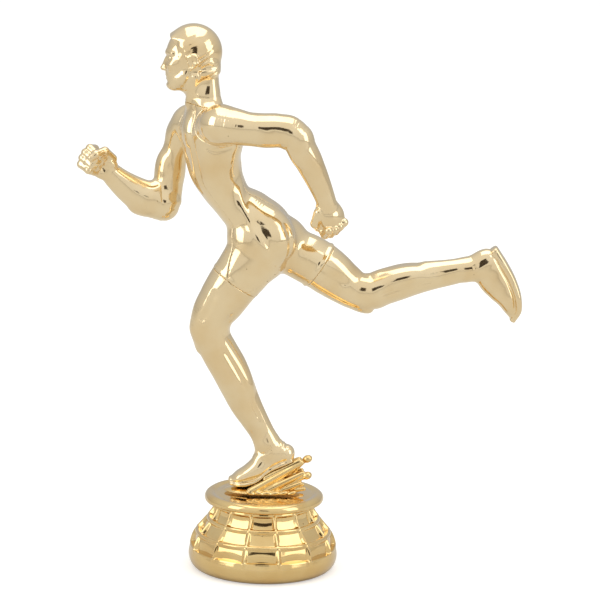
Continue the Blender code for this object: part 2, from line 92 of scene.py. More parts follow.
def limb(stations, blend=1.5, power=2.0, spacing=0.5):
    # an oval profile carried along a curve: |p/a|^n + |q/b|^n + |overshoot/end|^n = 1 is the skin
    line = curveThrough(stations, spacing)
    centre = line[:, :3]
    along = np.gradient(centre, axis=0)
    step = np.linalg.norm(along, axis=1)
    along /= step[:, None]
    inPlane = np.cross(along, [0, 1, 0])
    inPlane /= np.linalg.norm(inPlane, axis=1)[:, None]
    across = np.cross(inPlane, along)
    turn = np.radians(line[:, 5])[:, None]
    u = inPlane * np.cos(turn) + np.cross(along, inPlane) * np.sin(turn)
    v = across * np.cos(turn) + np.cross(along, across) * np.sin(turn)
    table = np.hstack([centre, u, v, along, line[:, 3:5]])
    half = (centre ** 2).sum(1) / 2

    def distance(points):
        result = np.empty(len(points))
        for first in range(0, len(points), 60000):
            some = points[first:first + 60000]
            nearest = np.argmin(half - some.astype(np.float32) @ centre.T.astype(np.float32), axis=1)
            shift = ((some - centre[nearest]) * along[nearest]).sum(1) / step[nearest]
            place = np.clip(nearest + np.clip(shift, -0.6, 0.6), 0, len(table) - 1.000001)
            below = place.astype(int)
            rest = (place - below)[:, None]
            row = table[below] * (1 - rest) + table[below + 1] * rest
            offset = some - row[:, :3]
            p = (offset * row[:, 3:6]).sum(1)
            q = (offset * row[:, 6:9]).sum(1)
            w = (offset * row[:, 9:12]).sum(1)
            a, b = row[:, 12], row[:, 13]
            end = np.minimum(a, b)
            x, y, z = np.abs(p / a), np.abs(q / b), np.abs(w / end)
            size = (x ** power + y ** power + z ** power) ** (1 / power)
            safe = np.maximum(size, 0.3)
            steep = np.sqrt((x ** (power - 1) / a) ** 2 + (y ** (power - 1) / b) ** 2
                            + (z ** (power - 1) / end) ** 2) * safe ** (1 - power)
            result[first:first + 60000] = (size - 1) / np.maximum(steep, 0.7 / np.maximum(a, b))
        return result

    reach = line[:, 3:5].max(1)[:, None]
    return shape(distance, (centre - reach).min(0), (centre + reach).max(0), blend)


def blob(centre, radii, blend=1.0, axes=None, tilt=0.0):
    # an ellipsoid: k0 is the scaled radius, k1 its slope, and k0 (k0 - 1) / k1 is near the true distance
    centre, radii = np.asarray(centre, float), np.asarray(radii, float)
    if axes is None:
        c, s = math.cos(math.radians(tilt)), math.sin(math.radians(tilt))
        axes = [(c, 0, -s), (0, 1, 0), (s, 0, c)]
    axes = np.array([unit(axis) for axis in axes])

    def distance(points):
        local = (points - centre) @ axes.T
        k0 = np.maximum(np.linalg.norm(local / radii, axis=1), 0.05)
        k1 = np.linalg.norm(local / radii ** 2, axis=1) + 1e-9
        return k0 * (k0 - 1) / np.maximum(k1, 0.3 * k0 / radii.max())

    return shape(distance, centre - radii.max(), centre + radii.max(), blend)


def cone(start, end, startRadius, endRadius, blend=0.6):
    # a round bar whose radius runs evenly from one end to the other
    start, end = np.asarray(start, float), np.asarray(end, float)
    span = end - start

    def distance(points):
        t = np.clip((points - start) @ span / (span @ span), 0, 1)
        radius = startRadius + (endRadius - startRadius) * t
        return np.linalg.norm(points - start - t[:, None] * span, axis=1) - radius

    big = max(startRadius, endRadius)
    return shape(distance, np.minimum(start, end) - big, np.maximum(start, end) + big, blend)


def join(a, b, width):
    # union whose crease is rounded over that width
    near = np.maximum(width - np.abs(a - b), 0) / width
    return np.minimum(a, b) - near * near * width * 0.25


def cutBy(a, b, width):
    return -join(-a, -b, width)


def swell(centre, radii, height):
    # raises the skin by height times exp(-r^2); a negative height presses it in
    centre, radii = np.asarray(centre, float), np.asarray(radii, float) * np.ones(3)

    def change(points):
        return -height * np.exp(-(((points - centre) / radii) ** 2).sum(1))

    return {"change": change, "low": centre - 2.7 * radii, "high": centre + 2.7 * radii}


def crease(path, width, depth):
    # presses the skin in by depth times exp(-(d / width)^2), where d is the distance from a smooth line;
    # a negative depth raises a ridge
    knots = np.asarray(path, float)
    line = curveThrough(knots, 0.35) if len(knots) > 2 else np.linspace(knots[0], knots[-1], 24)
    half = (line ** 2).sum(1) / 2
    fade = ease(np.minimum(np.arange(len(line)), np.arange(len(line))[::-1]) / (0.16 * len(line)))

    def change(points):
        nearest = np.argmin(half - points @ line.T, axis=1)
        gap = ((points - line[nearest]) ** 2).sum(1)
        return depth * fade[nearest] * np.exp(-gap / width ** 2)

    return {"change": change, "low": line.min(0) - 2.7 * width, "high": line.max(0) + 2.7 * width}


def inBox(points, item):
    return np.flatnonzero(np.all((points > item["low"]) & (points < item["high"]), axis=1))


def sculpt(shapes, details=()):
    def field(points):
        value = np.full(len(points), 9.0)
        for item in shapes:
            near = inBox(points, item)
            if len(near):
                value[near] = join(value[near], item["distance"](points[near]), item["blend"])
        for item in details:
            near = inBox(points, item)
            if len(near):
                value[near] += item["change"](points[near])
        return value
    return field


def beyond(joint, gap=0.0):
    # signed distance of a point past a joint's plane
    point, direction = np.asarray(joint[0]), unit(joint[1])
    return lambda points: (points - point) @ direction - gap


# from a signed distance to a fine skin

corners = np.array([(i, j, k) for i in (0, 1) for j in (0, 1) for k in (0, 1)])
cellEdges = [(a, b) for a in range(8) for b in range(a + 1, 8) if np.abs(corners[a] - corners[b]).sum() == 1]
tetra = np.array([(1, -1, -1), (-1, -1, 1), (-1, 1, -1), (1, 1, 1)], float)


def settle(points, field, rounds, reach=0.02):
    # moves each point down the slope onto the skin; four nearby samples give both value and slope
    for _ in range(rounds):
        samples = [field(points + corner * reach) for corner in tetra]
        slope = sum(corner[None] * sample[:, None] for corner, sample in zip(tetra, samples)) / (4 * reach)
        value = sum(samples) / 4
        move = -value / np.maximum((slope ** 2).sum(1), 0.15)
        points = points + slope * np.clip(move, -0.25, 0.25)[:, None]
    return points, slope / np.maximum(np.linalg.norm(slope, axis=1), 1e-6)[:, None]


def skin(field, low, high, cell):
    # surface nets: one vertex in each cell that the skin crosses, one face round each crossed edge
    coarse = 4
    low = np.asarray(low, float)
    blocks = np.ceil((np.asarray(high, float) - low) / (cell * coarse)).astype(int)
    size = blocks * coarse + 1
    grid = np.stack(np.meshgrid(*[np.arange(n) for n in blocks], indexing="ij"), -1)
    centres = low + (grid.reshape(-1, 3) + 0.5) * cell * coarse
    rough = field(centres).reshape(blocks)
    near = np.abs(rough) < 0.87 * cell * coarse * 1.45
    value = np.repeat(np.repeat(np.repeat(rough, coarse, 0), coarse, 1), coarse, 2)
    value = np.pad(value, ((0, 1),) * 3, mode="edge")
    wanted = np.zeros(size, bool)
    for corner in np.stack(np.meshgrid(*[np.arange(coarse + 1)] * 3, indexing="ij"), -1).reshape(-1, 3):
        i, j, k = corner
        wanted[i:i + blocks[0] * coarse:coarse, j:j + blocks[1] * coarse:coarse,
               k:k + blocks[2] * coarse:coarse][:blocks[0], :blocks[1], :blocks[2]] |= near
    places = np.argwhere(wanted)
    value[wanted] = field(low + places * cell)
    inside = value < 0
    most = size - 1
    count = sum(inside[i:most[0] + i, j:most[1] + j, k:most[2] + k].astype(np.int8) for i, j, k in corners)
    active = (count > 0) & (count < 8)
    cells = np.argwhere(active)
    at = [value[tuple((cells + corner).T)] for corner in corners]
    total, crossings = np.zeros((len(cells), 3)), np.zeros(len(cells))
    for a, b in cellEdges:
        crossed = (at[a] < 0) != (at[b] < 0)
        t = np.where(crossed, at[a] / np.where(crossed, at[a] - at[b], 1), 0)
        total += crossed[:, None] * (corners[a] + t[:, None] * (corners[b] - corners[a]))
        crossings += crossed
    points = low + (cells + total / crossings[:, None]) * cell
    index = np.full(active.shape, -1)
    index[active] = np.arange(len(cells))
    quads = []
    for axis in range(3):
        second, third = (axis + 1) % 3, (axis + 2) % 3
        first = np.take(inside, range(size[axis] - 1), axis)
        after = np.take(inside, range(1, size[axis]), axis)
        edge = np.argwhere(first != after)
        edge = edge[(edge[:, second] > 0) & (edge[:, third] > 0)
                    & (edge[:, second] < size[second] - 1) & (edge[:, third] < size[third] - 1)]
        back2, back3 = np.zeros(3, int), np.zeros(3, int)
        back2[second], back3[third] = 1, 1
        steps = (0 * back2, back2, back2 + back3, back3)
        ring = np.stack([index[tuple((edge - step).T)] for step in steps], 1)
        outward = first[tuple(edge.T)]
        ring[~outward] = ring[~outward][:, ::-1]
        quads.append(ring)
    quads = np.vstack(quads)
    points, normals = settle(points, field, 2)
    ends = np.vstack([quads[:, [0, 1]], quads[:, [1, 2]], quads[:, [2, 3]], quads[:, [3, 0]]])
    one, other = ends.T
    neighbours = np.bincount(ends.ravel(), minlength=len(points))[:, None]
    for _ in range(2):
        # a step towards the mean of the neighbours, kept along the skin
        total = np.stack([np.bincount(one, points[other, axis], len(points))
                          + np.bincount(other, points[one, axis], len(points)) for axis in range(3)], 1)
        pull = total / neighbours - points
        pull -= normals * (pull * normals).sum(1)[:, None]
        points, normals = settle(points + 0.6 * pull, field, 1)
    return points, quads


def writePiece(name, points, faces, material, body, nodes, sharp=0):
    mesh = bpy.data.meshes.new(name)
    mesh.from_pydata((np.asarray(points) * 0.001).tolist(), [], [list(face) for face in faces])
    mesh.validate()
    mesh.shade_smooth()
    item = bpy.data.objects.new(name, mesh)
    bpy.context.scene.collection.objects.link(item)
    mesh.materials.append(material)
    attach(item, body)
    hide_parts(*nodes)
    if sharp:
        mesh.set_sharp_from_angle(angle=math.radians(sharp))


def straightRun(path, spacing):
    # points along the straight lines from corner to corner
    path = np.asarray(path, float)
    runs = [np.linspace(a, b, max(int(np.hypot(*(b - a)) / spacing), 1), endpoint=False)
            for a, b in zip(path, path[1:])]
    return np.vstack(runs + [path[-1:]])


def gridPiece(radius, height, angles, closed):
    # rows of a turned profile, where radius and height are tables of row by angle;
    # an open profile ends in two poles
    rows, columns = radius.shape
    points = np.stack([radius * np.cos(angles), radius * np.sin(angles), height * np.ones(columns)], -1)
    points = points.reshape(-1, 3)
    row, column = np.meshgrid(np.arange(rows if closed else rows - 1), np.arange(columns), indexing="ij")
    row, column = row.ravel(), column.ravel()
    nextRow, nextColumn = (row + 1) % rows, (column + 1) % columns
    faces = np.stack([row * columns + column, nextRow * columns + column,
                      nextRow * columns + nextColumn, row * columns + nextColumn], 1).tolist()
    if not closed:
        points = np.vstack([points, [0, 0, height[0].mean()], [0, 0, height[-1].mean()]])
        step = np.arange(columns)
        after = (step + 1) % columns
        last = (rows - 1) * columns
        faces += np.stack([step, after, np.full(columns, rows * columns)], 1).tolist()
        faces += np.stack([after + last, step + last, np.full(columns, rows * columns + 1)], 1).tolist()
    return points, faces


# materials

def linear(hexColour):
    parts = np.array([int(hexColour[i:i + 2], 16) / 255 for i in (1, 3, 5)])
    return (*np.where(parts <= 0.04045, parts / 12.92, ((parts + 0.055) / 1.055) ** 2.4), 1.0)


def addNode(tree, kind, values=None, links=None, **settings):
    item = tree.nodes.new(kind)
    for key, value in settings.items():
        setattr(item, key, value)
    for key, value in (values or {}).items():
        item.inputs[key].default_value = value
    for key, source in (links or {}).items():
        tree.links.new(source, item.inputs[key])
    return item


def perMetre(size):
    return 1000 / size


# two tones for each gold, its pinholes' colour, and in millimetres the size of each of its patterns
goldFinish = {
    "figure": ("#F3DEB4", "#E4C184"), "base": ("#EDCF90", "#DAAD60"), "pit": "#6E5122",
    "clouds": 9.0, "peel": 1.3, "ripple": 5.0, "pitSpacing": 2.6, "haze": 3.2,
    "coat": 0.8, "coatRoughness": 0.04, "hazeRoughness": 0.07,
}


def metallisedPlastic(name, tint, roughness, peelHeight, pitShare):
    # aluminium vapour on moulded polystyrene under a yellow lacquer: a sharp mirror with a slight
    # orange peel, a thin clear top, pinholes, and faint clouds where the lacquer ran thicker
    material = bpy.data.materials.new(name)
    material.use_nodes = True
    tree = material.node_tree
    shader = tree.nodes["Principled BSDF"]
    shader.inputs["Metallic"].default_value = 1.0
    shader.inputs["Coat Weight"].default_value = goldFinish["coat"]
    shader.inputs["Coat Roughness"].default_value = goldFinish["coatRoughness"]
    place = addNode(tree, "ShaderNodeTexCoord").outputs["Object"]
    clouds = addNode(tree, "ShaderNodeTexNoise", {"Scale": perMetre(goldFinish["clouds"]), "Detail": 3.0},
                     {"Vector": place})
    cloudMix = addNode(tree, "ShaderNodeMapRange", {"From Min": 0.42, "From Max": 0.78, "To Max": 0.55},
                       {"Value": clouds.outputs["Fac"]})
    pale, worn = goldFinish[tint]
    tone = addNode(tree, "ShaderNodeMix", {6: linear(pale), 7: linear(worn)}, {0: cloudMix.outputs[0]},
                   data_type="RGBA")
    cells = addNode(tree, "ShaderNodeTexVoronoi",
                    {"Scale": perMetre(goldFinish["pitSpacing"]), "Randomness": 1.0}, {"Vector": place})
    dot = addNode(tree, "ShaderNodeMapRange",
                  {"From Min": 0.045, "From Max": 0.075, "To Min": 1.0, "To Max": 0.0},
                  {"Value": cells.outputs["Distance"]})
    chosen = addNode(tree, "ShaderNodeSeparateColor", None, {"Color": cells.outputs["Color"]})
    picked = addNode(tree, "ShaderNodeMath", {1: 1 - pitShare}, {0: chosen.outputs[0]},
                     operation="GREATER_THAN")
    pit = addNode(tree, "ShaderNodeMath", None, {0: dot.outputs[0], 1: picked.outputs[0]},
                  operation="MULTIPLY")
    colour = addNode(tree, "ShaderNodeMix", {7: linear(goldFinish["pit"])},
                     {0: pit.outputs[0], 6: tone.outputs[2]}, data_type="RGBA")
    tree.links.new(colour.outputs[2], shader.inputs["Base Color"])
    haze = addNode(tree, "ShaderNodeTexNoise", {"Scale": perMetre(goldFinish["haze"]), "Detail": 4.0},
                   {"Vector": place})
    dull = roughness + goldFinish["hazeRoughness"]
    gloss = addNode(tree, "ShaderNodeMapRange",
                    {"From Min": 0.35, "From Max": 0.75, "To Min": roughness, "To Max": dull},
                    {"Value": haze.outputs["Fac"]})
    tree.links.new(gloss.outputs[0], shader.inputs["Roughness"])
    peel = addNode(tree, "ShaderNodeTexNoise", {"Scale": perMetre(goldFinish["peel"]), "Detail": 1.0},
                   {"Vector": place})
    ripple = addNode(tree, "ShaderNodeTexNoise", {"Scale": perMetre(goldFinish["ripple"]), "Detail": 0.0},
                     {"Vector": place})
    relief = addNode(tree, "ShaderNodeMath", {1: 3.0}, {0: ripple.outputs["Fac"], 2: peel.outputs["Fac"]},
                     operation="MULTIPLY_ADD")
    sunk = addNode(tree, "ShaderNodeMath", {1: -5.0}, {0: pit.outputs[0], 2: relief.outputs[0]},
                   operation="MULTIPLY_ADD")
    bump = addNode(tree, "ShaderNodeBump", {"Strength": 0.6, "Distance": peelHeight * 0.001},
                   {"Height": sunk.outputs[0]})
    tree.links.new(bump.outputs[0], shader.inputs["Normal"])
    return material


def zincPlatedSteel(name):
    # bright zinc over turned mild steel: grey, a little uneven, with fine marks of handling
    material = bpy.data.materials.new(name)
    material.use_nodes = True
    tree = material.node_tree
    shader = tree.nodes["Principled BSDF"]
    shader.inputs["Metallic"].default_value = 1.0
    place = addNode(tree, "ShaderNodeTexCoord").outputs["Object"]
    mottle = addNode(tree, "ShaderNodeTexNoise", {"Scale": perMetre(1.6), "Detail": 4.0}, {"Vector": place})
    tone = addNode(tree, "ShaderNodeMix", {6: linear("#C9CBC8"), 7: linear("#A7A8A4")},
                   {0: mottle.outputs["Fac"]}, data_type="RGBA")
    tree.links.new(tone.outputs[2], shader.inputs["Base Color"])
    gloss = addNode(tree, "ShaderNodeMapRange", {"To Min": 0.24, "To Max": 0.42},
                    {"Value": mottle.outputs["Fac"]})
    tree.links.new(gloss.outputs[0], shader.inputs["Roughness"])
    fine = addNode(tree, "ShaderNodeTexNoise", {"Scale": perMetre(0.25), "Detail": 2.0}, {"Vector": place})
    bump = addNode(tree, "ShaderNodeBump", {"Strength": 0.3, "Distance": 0.00002},
                   {"Height": fine.outputs["Fac"]})
    tree.links.new(bump.outputs[0], shader.inputs["Normal"])
    return material


figureGold = metallisedPlastic("figureMetallisedPolystyrene", "figure", 0.08, 0.014, 0.16)
riserGold = metallisedPlastic("riserMetallisedPolystyrene", "base", 0.08, 0.014, 0.10)
discGold = metallisedPlastic("discMetallisedPolystyrene", "base", 0.08, 0.018, 0.12)
groundGold = metallisedPlastic("groundMetallisedPolystyrene", "base", 0.10, 0.012, 0.10)
zincSteel = zincPlatedSteel("zincPlatedSteel")
print("materials made")


# riser: a bell with a waffle of sunk panels

riser = {
    "columns": 13, "rows": [(5.7, 9.3), (9.95, 12.85), (13.45, 16.5)], "ribLevels": (9.62, 13.15),
    "rib": 0.62, "edge": 0.38, "depth": 0.95, "crown": 0.2,
    "outline": [(12.3, 17.2), (12.9, 15.2), (14.3, 13.1), (16.0, 11.0), (17.2, 9.5), (18.1, 7.8),
                (18.75, 5.4), (19.0, 3.7), (18.75, 2.2), (18.1, 1.05), (17.2, 0.35), (16.0, 0.0)],
    "inside": [(14.4, 0.0), (16.2, 1.4), (17.0, 4.5), (16.0, 8.0), (14.0, 11.0), (12.2, 13.2), (10.8, 15.4),
               (7.9, 15.4), (7.9, 11.5), (2.3, 11.5), (2.3, 13.5), (6.3, 13.5), (6.3, 17.2)],
}


def makeRiser():
    # the outline, less a panel depth that eases in from every rib and is deepest at the panel's foot,
    # plus a crown of height times cos(pi x / width) along each rib
    outer = curveThrough([(r, 0, z) for r, z in riser["outline"]], 0.16)[:, [0, 2]]
    slope = np.gradient(outer, axis=0)
    slope /= np.linalg.norm(slope, axis=1)[:, None]
    outward = np.stack([-slope[:, 1], slope[:, 0]], 1)
    angles = np.linspace(0, 2 * np.pi, riser["columns"] * 36, endpoint=False)
    pitch = 2 * np.pi / riser["columns"]
    phase = (angles + np.pi / 2) / pitch
    offCentre = np.abs(phase - np.round(phase)) * pitch
    radius, height = outer[:, :1] * np.ones(len(angles)), outer[:, 1:] * np.ones(len(angles))
    side = ease((radius * (pitch / 2 - offCentre) - riser["rib"] / 2) / riser["edge"])
    level = sum(ease((height - low) / riser["edge"]) * ease((high - height) / riser["edge"])
                * (1.4 - 0.95 * (height - low) / (high - low)) for low, high in riser["rows"])
    flat = radius * (1 - np.cos(offCentre))
    sink = side * level * (riser["depth"] - 0.75 * flat)
    wave = 0.03 * np.sin(3 * angles + 0.7) + 0.02 * np.sin(7 * angles + 0.25 * height)

    def arch(t):
        return riser["crown"] * np.cos(np.clip(t * np.pi, -np.pi / 2, np.pi / 2))

    crown = arch(radius * (pitch / 2 - offCentre) / riser["rib"])
    crown = crown * ease((height - 4.6) / 1.0) * ease((16.9 - height) / 0.8)
    for middle in riser["ribLevels"]:
        crown = np.maximum(crown, arch((height - middle) / 0.75))
    grow = wave * ease(height / 3) + crown - sink
    radius = radius + outward[:, :1] * grow
    height = height + outward[:, 1:] * grow
    inner = straightRun(riser["inside"], 0.8)
    radius = np.vstack([radius, inner[:, :1] * np.ones(len(angles))])
    height = np.vstack([height, inner[:, 1:] * np.ones(len(angles))])
    points, faces = gridPiece(radius, height, angles, True)
    writePiece("waffle_riser", points, [face[::-1] for face in faces], riserGold, "pedestal",
               ["pedestal_skirt"], 50)


# disc, stud, washer, nut

disc = {
    "bottom": 17.5, "boss": 6.0, "bossLow": nodeBox("plinth_disc")[0][2], "bore": 2.3, "boreTop": 18.6,
    "profile": [(0.4, 19.72), (6.0, 19.72), (11.2, 19.62), (12.5, 19.52), (13.3, 19.82), (14.1, 19.86),
                (14.75, 19.5), (15.12, 18.9), (15.2, 18.4), (15.05, 17.95), (14.7, 17.65), (14.1, 17.5)],
}


def makeDisc():
    # a turned profile whose rim wanders a little, as a thin moulded plate's does
    outer = curveThrough([(r, 0, z) for r, z in disc["profile"]], 0.2)[:, [0, 2]]
    under = straightRun([disc["profile"][-1], (disc["boss"], disc["bottom"]), (disc["boss"], disc["bossLow"]),
                         (disc["bore"], disc["bossLow"]), (disc["bore"], disc["boreTop"]),
                         (0.3, disc["boreTop"])], 0.7)
    both = np.vstack([outer, under[1:]])
    angles = np.linspace(0, 2 * np.pi, 288, endpoint=False)
    radius, height = both[:, :1] * np.ones(len(angles)), both[:, 1:] * np.ones(len(angles))
    top = (np.arange(len(both)) < len(outer))[:, None]
    rim = ease((radius - 12.5) / 2)
    wander = 0.05 * np.sin(2 * angles + 0.6) + 0.05 * np.sin(5 * angles + 2.0) + 0.03 * np.sin(11 * angles)
    radius = radius + top * rim * (wander - 0.03)
    height = height + top * 0.03 * np.sin(3 * angles + 1.1) * ease((radius - 8) / 4)
    points, faces = gridPiece(radius, height, angles, False)
    writePiece("round_disc", points, [face[::-1] for face in faces], discGold, "figure",
               ["plinth_disc"], 50)


studLow, studHigh = nodeBox("figure_stud")
stud = {"radius": 2.0, "pitch": 0.7, "depth": 0.36, "low": studLow[2], "high": studHigh[2]}


def makeStud():
    # radius = crest - depth x |saw tooth of (height / pitch - turn)|, fading into a chamfer at the ends
    angles = np.linspace(0, 2 * np.pi, 40, endpoint=False)
    height = np.linspace(stud["low"], stud["high"], 290)[:, None] * np.ones(len(angles))
    phase = height / stud["pitch"] - angles / (2 * np.pi)
    tooth = np.abs(phase - np.floor(phase) - 0.5) * 2
    radius = stud["radius"] - stud["depth"] * np.clip(tooth * 1.25 - 0.12, 0, 1)
    ends = np.minimum(height - stud["low"], stud["high"] - height)
    radius = np.minimum(radius, 1.5 + ends)
    points, faces = gridPiece(radius, height, angles, False)
    writePiece("threaded_stud", points, faces, zincSteel, "figure", ["figure_stud"])


def makeWasher():
    low, high = nodeBox("clamp_washer")
    rim, hole, bevel = high[0], 2.3, 0.14
    ring = np.array([(hole, low[2] + bevel), (hole + bevel, low[2]), (rim - bevel, low[2]),
                     (rim, low[2] + bevel), (rim, high[2] - bevel), (rim - bevel, high[2]),
                     (hole + bevel, high[2]), (hole, high[2] - bevel)])
    angles = np.linspace(0, 2 * np.pi, 96, endpoint=False)
    points, faces = gridPiece(ring[:, :1] * np.ones(96), ring[:, 1:] * np.ones(96), angles, True)
    writePiece("plain_washer", points, faces, zincSteel, "pedestal", ["clamp_washer"], 35)


def makeNut():
    # a hexagon's radius by angle, cut back by a 30 degree cone at both faces
    low, high = nodeBox("clamp_nut")
    flats, hole = high[0], 2.3
    angles = np.linspace(0, 2 * np.pi, 144, endpoint=False)
    hexagon = flats / np.cos((angles % (np.pi / 3)) - np.pi / 6)
    levels = np.array([0, 0.12, 0.25, 0.4, 0.6, 1.0, 1.6, 2.2, 2.6, 2.8, 2.95, 3.08, 3.2])[:, None]
    levels = levels * (high[2] - low[2]) / 3.2
    ends = np.minimum(levels, (high[2] - low[2]) - levels)
    outer = np.minimum(hexagon, flats - 0.05 + ends * 1.73)
    height = low[2] + levels * np.ones(144)
    inner = np.linspace(high[2], low[2], 12)[:, None] * np.ones(144)
    bore = hole + 0.25 * ease(1 - np.minimum(high[2] - inner, inner - low[2]) / 0.35)
    points, faces = gridPiece(np.vstack([outer, bore]), np.vstack([height, inner]), angles, True)
    writePiece("hex_nut", points, faces, zincSteel, "nut", ["clamp_nut"], 25)


makeRiser()
makeDisc()
makeStud()
makeWasher()
makeNut()
print("riser, disc and fasteners made")


# the runner's stations: x, y, z, half width in the running plane, half width across it, turn

trunk = [
    (-17.4, 0.0, 121.5, 3.6, 4.2, -22), (-17.0, 0.0, 117.5, 4.6, 8.0, -22),
    (-16.4, 0.0, 114.0, 6.2, 10.6, -22), (-15.5, 0.0, 110.5, 6.6, 10.8, -22),
    (-14.9, 0.0, 106.5, 6.4, 9.9, -20), (-13.9, 0.0, 102.5, 6.4, 8.7, -14),
    (-11.9, 0.0, 98.5, 5.7, 7.8, -6), (-9.3, 0.0, 95.0, 5.2, 7.4, 0),
    (-5.5, 0.0, 91.6, 6.4, 8.0, 8), (-2.6, 0.0, 87.8, 7.8, 8.8, 14),
    (-1.0, 0.0, 83.5, 7.4, 8.2, 14), (-0.4, 0.0, 80.0, 4.4, 5.2, 14),
]
leftThigh = [
    (-1.8, -3.4, 90.5, 5.4, 3.8, 0), (-2.6, -3.6, 86.5, 7.7, 5.4, 0),
    (-4.1, -3.8, 81.9, 7.3, 5.6, 0), (-6.4, -3.8, 78.2, 6.9, 5.6, 0),
    (-8.7, -3.6, 75.0, 6.5, 5.4, 0), (-11.7, -3.2, 70.2, 6.0, 5.0, 0),
    (-13.8, -2.8, 66.6, 5.4, 4.6, 0), (-14.6, -2.5, 63.2, 4.9, 4.4, 0),
    (-14.2, -2.2, 60.6, 4.3, 4.1, 0), (-13.3, -2.0, 58.6, 3.5, 3.4, 0),
]
leftShank = [
    (-14.9, -2.4, 64.6, 3.6, 3.4, 0), (-14.6, -2.3, 62.2, 4.5, 4.2, 0),
    (-13.6, -2.2, 59.6, 4.6, 4.2, 0), (-12.0, -1.8, 56.5, 4.7, 4.2, 0),
    (-9.6, -1.4, 52.3, 4.7, 4.3, 0), (-7.4, -1.0, 47.6, 4.4, 4.0, 0),
    (-5.2, -0.6, 42.7, 3.9, 3.4, 0), (-3.0, -0.3, 38.7, 3.3, 2.9, 0),
    (-1.2, 0.0, 35.4, 2.9, 2.5, 0), (0.2, 0.0, 32.6, 2.9, 2.4, 0),
    (1.2, 0.0, 30.2, 2.9, 2.3, 0),
]
leftShoe = [
    (-8.3, 0.0, 22.9, 0.9, 1.7, 0), (-7.2, 0.0, 23.2, 1.5, 2.7, 0),
    (-4.4, 0.0, 24.3, 2.3, 3.2, 0), (-1.4, 0.0, 25.9, 3.3, 3.3, 0),
    (1.0, 0.0, 28.2, 4.0, 2.9, 0), (2.9, 0.0, 29.6, 3.9, 2.9, 0),
    (4.2, 0.0, 29.9, 3.4, 2.8, 0), (5.0, 0.0, 29.8, 2.7, 2.6, 0),
]
leftSole = [
    (-8.3, 0.0, 22.1, 0.6, 2.0, 0), (-7.0, 0.0, 22.1, 0.7, 2.9, 0), (-2.6, 0.0, 22.9, 0.7, 3.5, 0),
    (1.0, 0.0, 25.7, 0.6, 2.8, 0), (3.8, 0.0, 27.2, 0.65, 2.8, 0), (6.6, 0.0, 28.4, 0.65, 2.2, 0),
]
rightThigh = [
    (-0.6, 3.8, 86.2, 4.8, 4.4, 0), (2.4, 4.0, 84.2, 6.2, 5.6, 0),
    (6.2, 4.1, 81.6, 6.1, 5.7, 0), (9.8, 4.2, 79.9, 6.3, 5.6, 0),
    (12.8, 4.3, 78.2, 6.2, 5.5, 0), (15.6, 4.5, 76.2, 6.0, 5.2, 0),
    (18.9, 4.6, 73.8, 5.4, 4.8, 0), (21.8, 4.7, 72.0, 4.9, 4.5, 0),
    (24.6, 4.8, 71.1, 4.5, 4.3, 0), (27.0, 4.8, 71.0, 3.3, 3.3, 0),
]
rightShank = [
    (23.4, 4.8, 70.8, 3.4, 3.4, 0), (25.6, 4.8, 71.6, 4.3, 4.1, 0),
    (28.4, 4.8, 72.8, 4.6, 4.2, 0), (32.4, 4.9, 74.1, 4.5, 4.2, 0),
    (37.0, 5.0, 75.3, 4.0, 3.8, 0), (41.4, 5.0, 76.1, 3.4, 3.2, 0),
    (45.1, 5.0, 76.7, 3.0, 2.7, 0), (49.0, 5.0, 77.6, 2.8, 2.5, 0),
    (52.4, 5.0, 78.4, 2.8, 2.3, 0),
]
rightShoe = [
    (62.2, 5.0, 66.2, 1.0, 1.5, 0), (61.8, 5.0, 67.6, 1.7, 2.4, 0),
    (60.7, 5.0, 70.4, 2.7, 3.0, 0), (59.0, 5.0, 73.3, 3.8, 3.0, 0),
    (56.9, 5.0, 76.4, 4.4, 2.9, 0), (55.4, 5.0, 79.0, 4.2, 2.8, 0),
    (54.8, 5.0, 80.2, 3.8, 2.6, 0), (54.4, 5.0, 80.9, 2.8, 2.3, 0),
]
rightSole = [
    (62.2, 5.0, 65.6, 0.8, 1.8, 0), (63.3, 5.0, 67.8, 0.9, 2.8, 0), (63.2, 5.0, 70.8, 1.0, 3.3, 0),
    (61.7, 5.0, 75.2, 1.1, 2.9, 0), (59.2, 5.0, 79.6, 1.2, 2.8, 0), (57.0, 5.0, 83.0, 1.1, 2.3, 0),
]
leftUpperArm = [
    (-14.6, -7.4, 115.0, 4.6, 4.4, 0), (-12.6, -10.4, 115.8, 4.9, 4.8, 0),
    (-9.8, -12.4, 115.9, 4.5, 4.3, 0), (-6.0, -13.2, 115.4, 4.1, 3.8, 0),
    (-2.2, -13.8, 115.5, 4.1, 3.9, 0), (1.6, -14.0, 115.4, 4.1, 3.7, 0),
    (4.9, -14.0, 114.8, 3.7, 3.5, 0), (6.6, -14.0, 113.8, 2.6, 2.6, 0),
]
leftForearm = [
    (4.4, -14.0, 116.0, 2.6, 2.6, 0), (5.9, -14.0, 114.2, 3.7, 3.5, 0),
    (7.6, -13.6, 110.8, 3.6, 3.4, 0), (9.4, -13.0, 107.4, 3.4, 3.2, 0),
    (11.4, -12.2, 103.3, 3.0, 2.8, 0), (13.1, -11.5, 99.4, 2.6, 2.3, 0),
    (14.1, -11.1, 96.8, 2.4, 2.1, 0),
]
rightUpperArm = [
    (-18.6, 6.6, 113.2, 4.2, 4.2, 0), (-21.2, 9.4, 112.8, 4.3, 4.4, 0),
    (-23.2, 11.0, 110.4, 3.9, 4.2, 0), (-24.4, 11.5, 106.6, 3.3, 3.7, 0),
    (-25.6, 11.5, 103.0, 3.3, 3.7, 0), (-26.2, 11.0, 98.8, 3.7, 3.6, 0),
    (-26.6, 10.5, 94.8, 3.8, 3.5, 0), (-26.9, 10.0, 91.8, 3.4, 3.3, 0),
    (-26.8, 9.8, 90.6, 2.4, 2.4, 0),
]
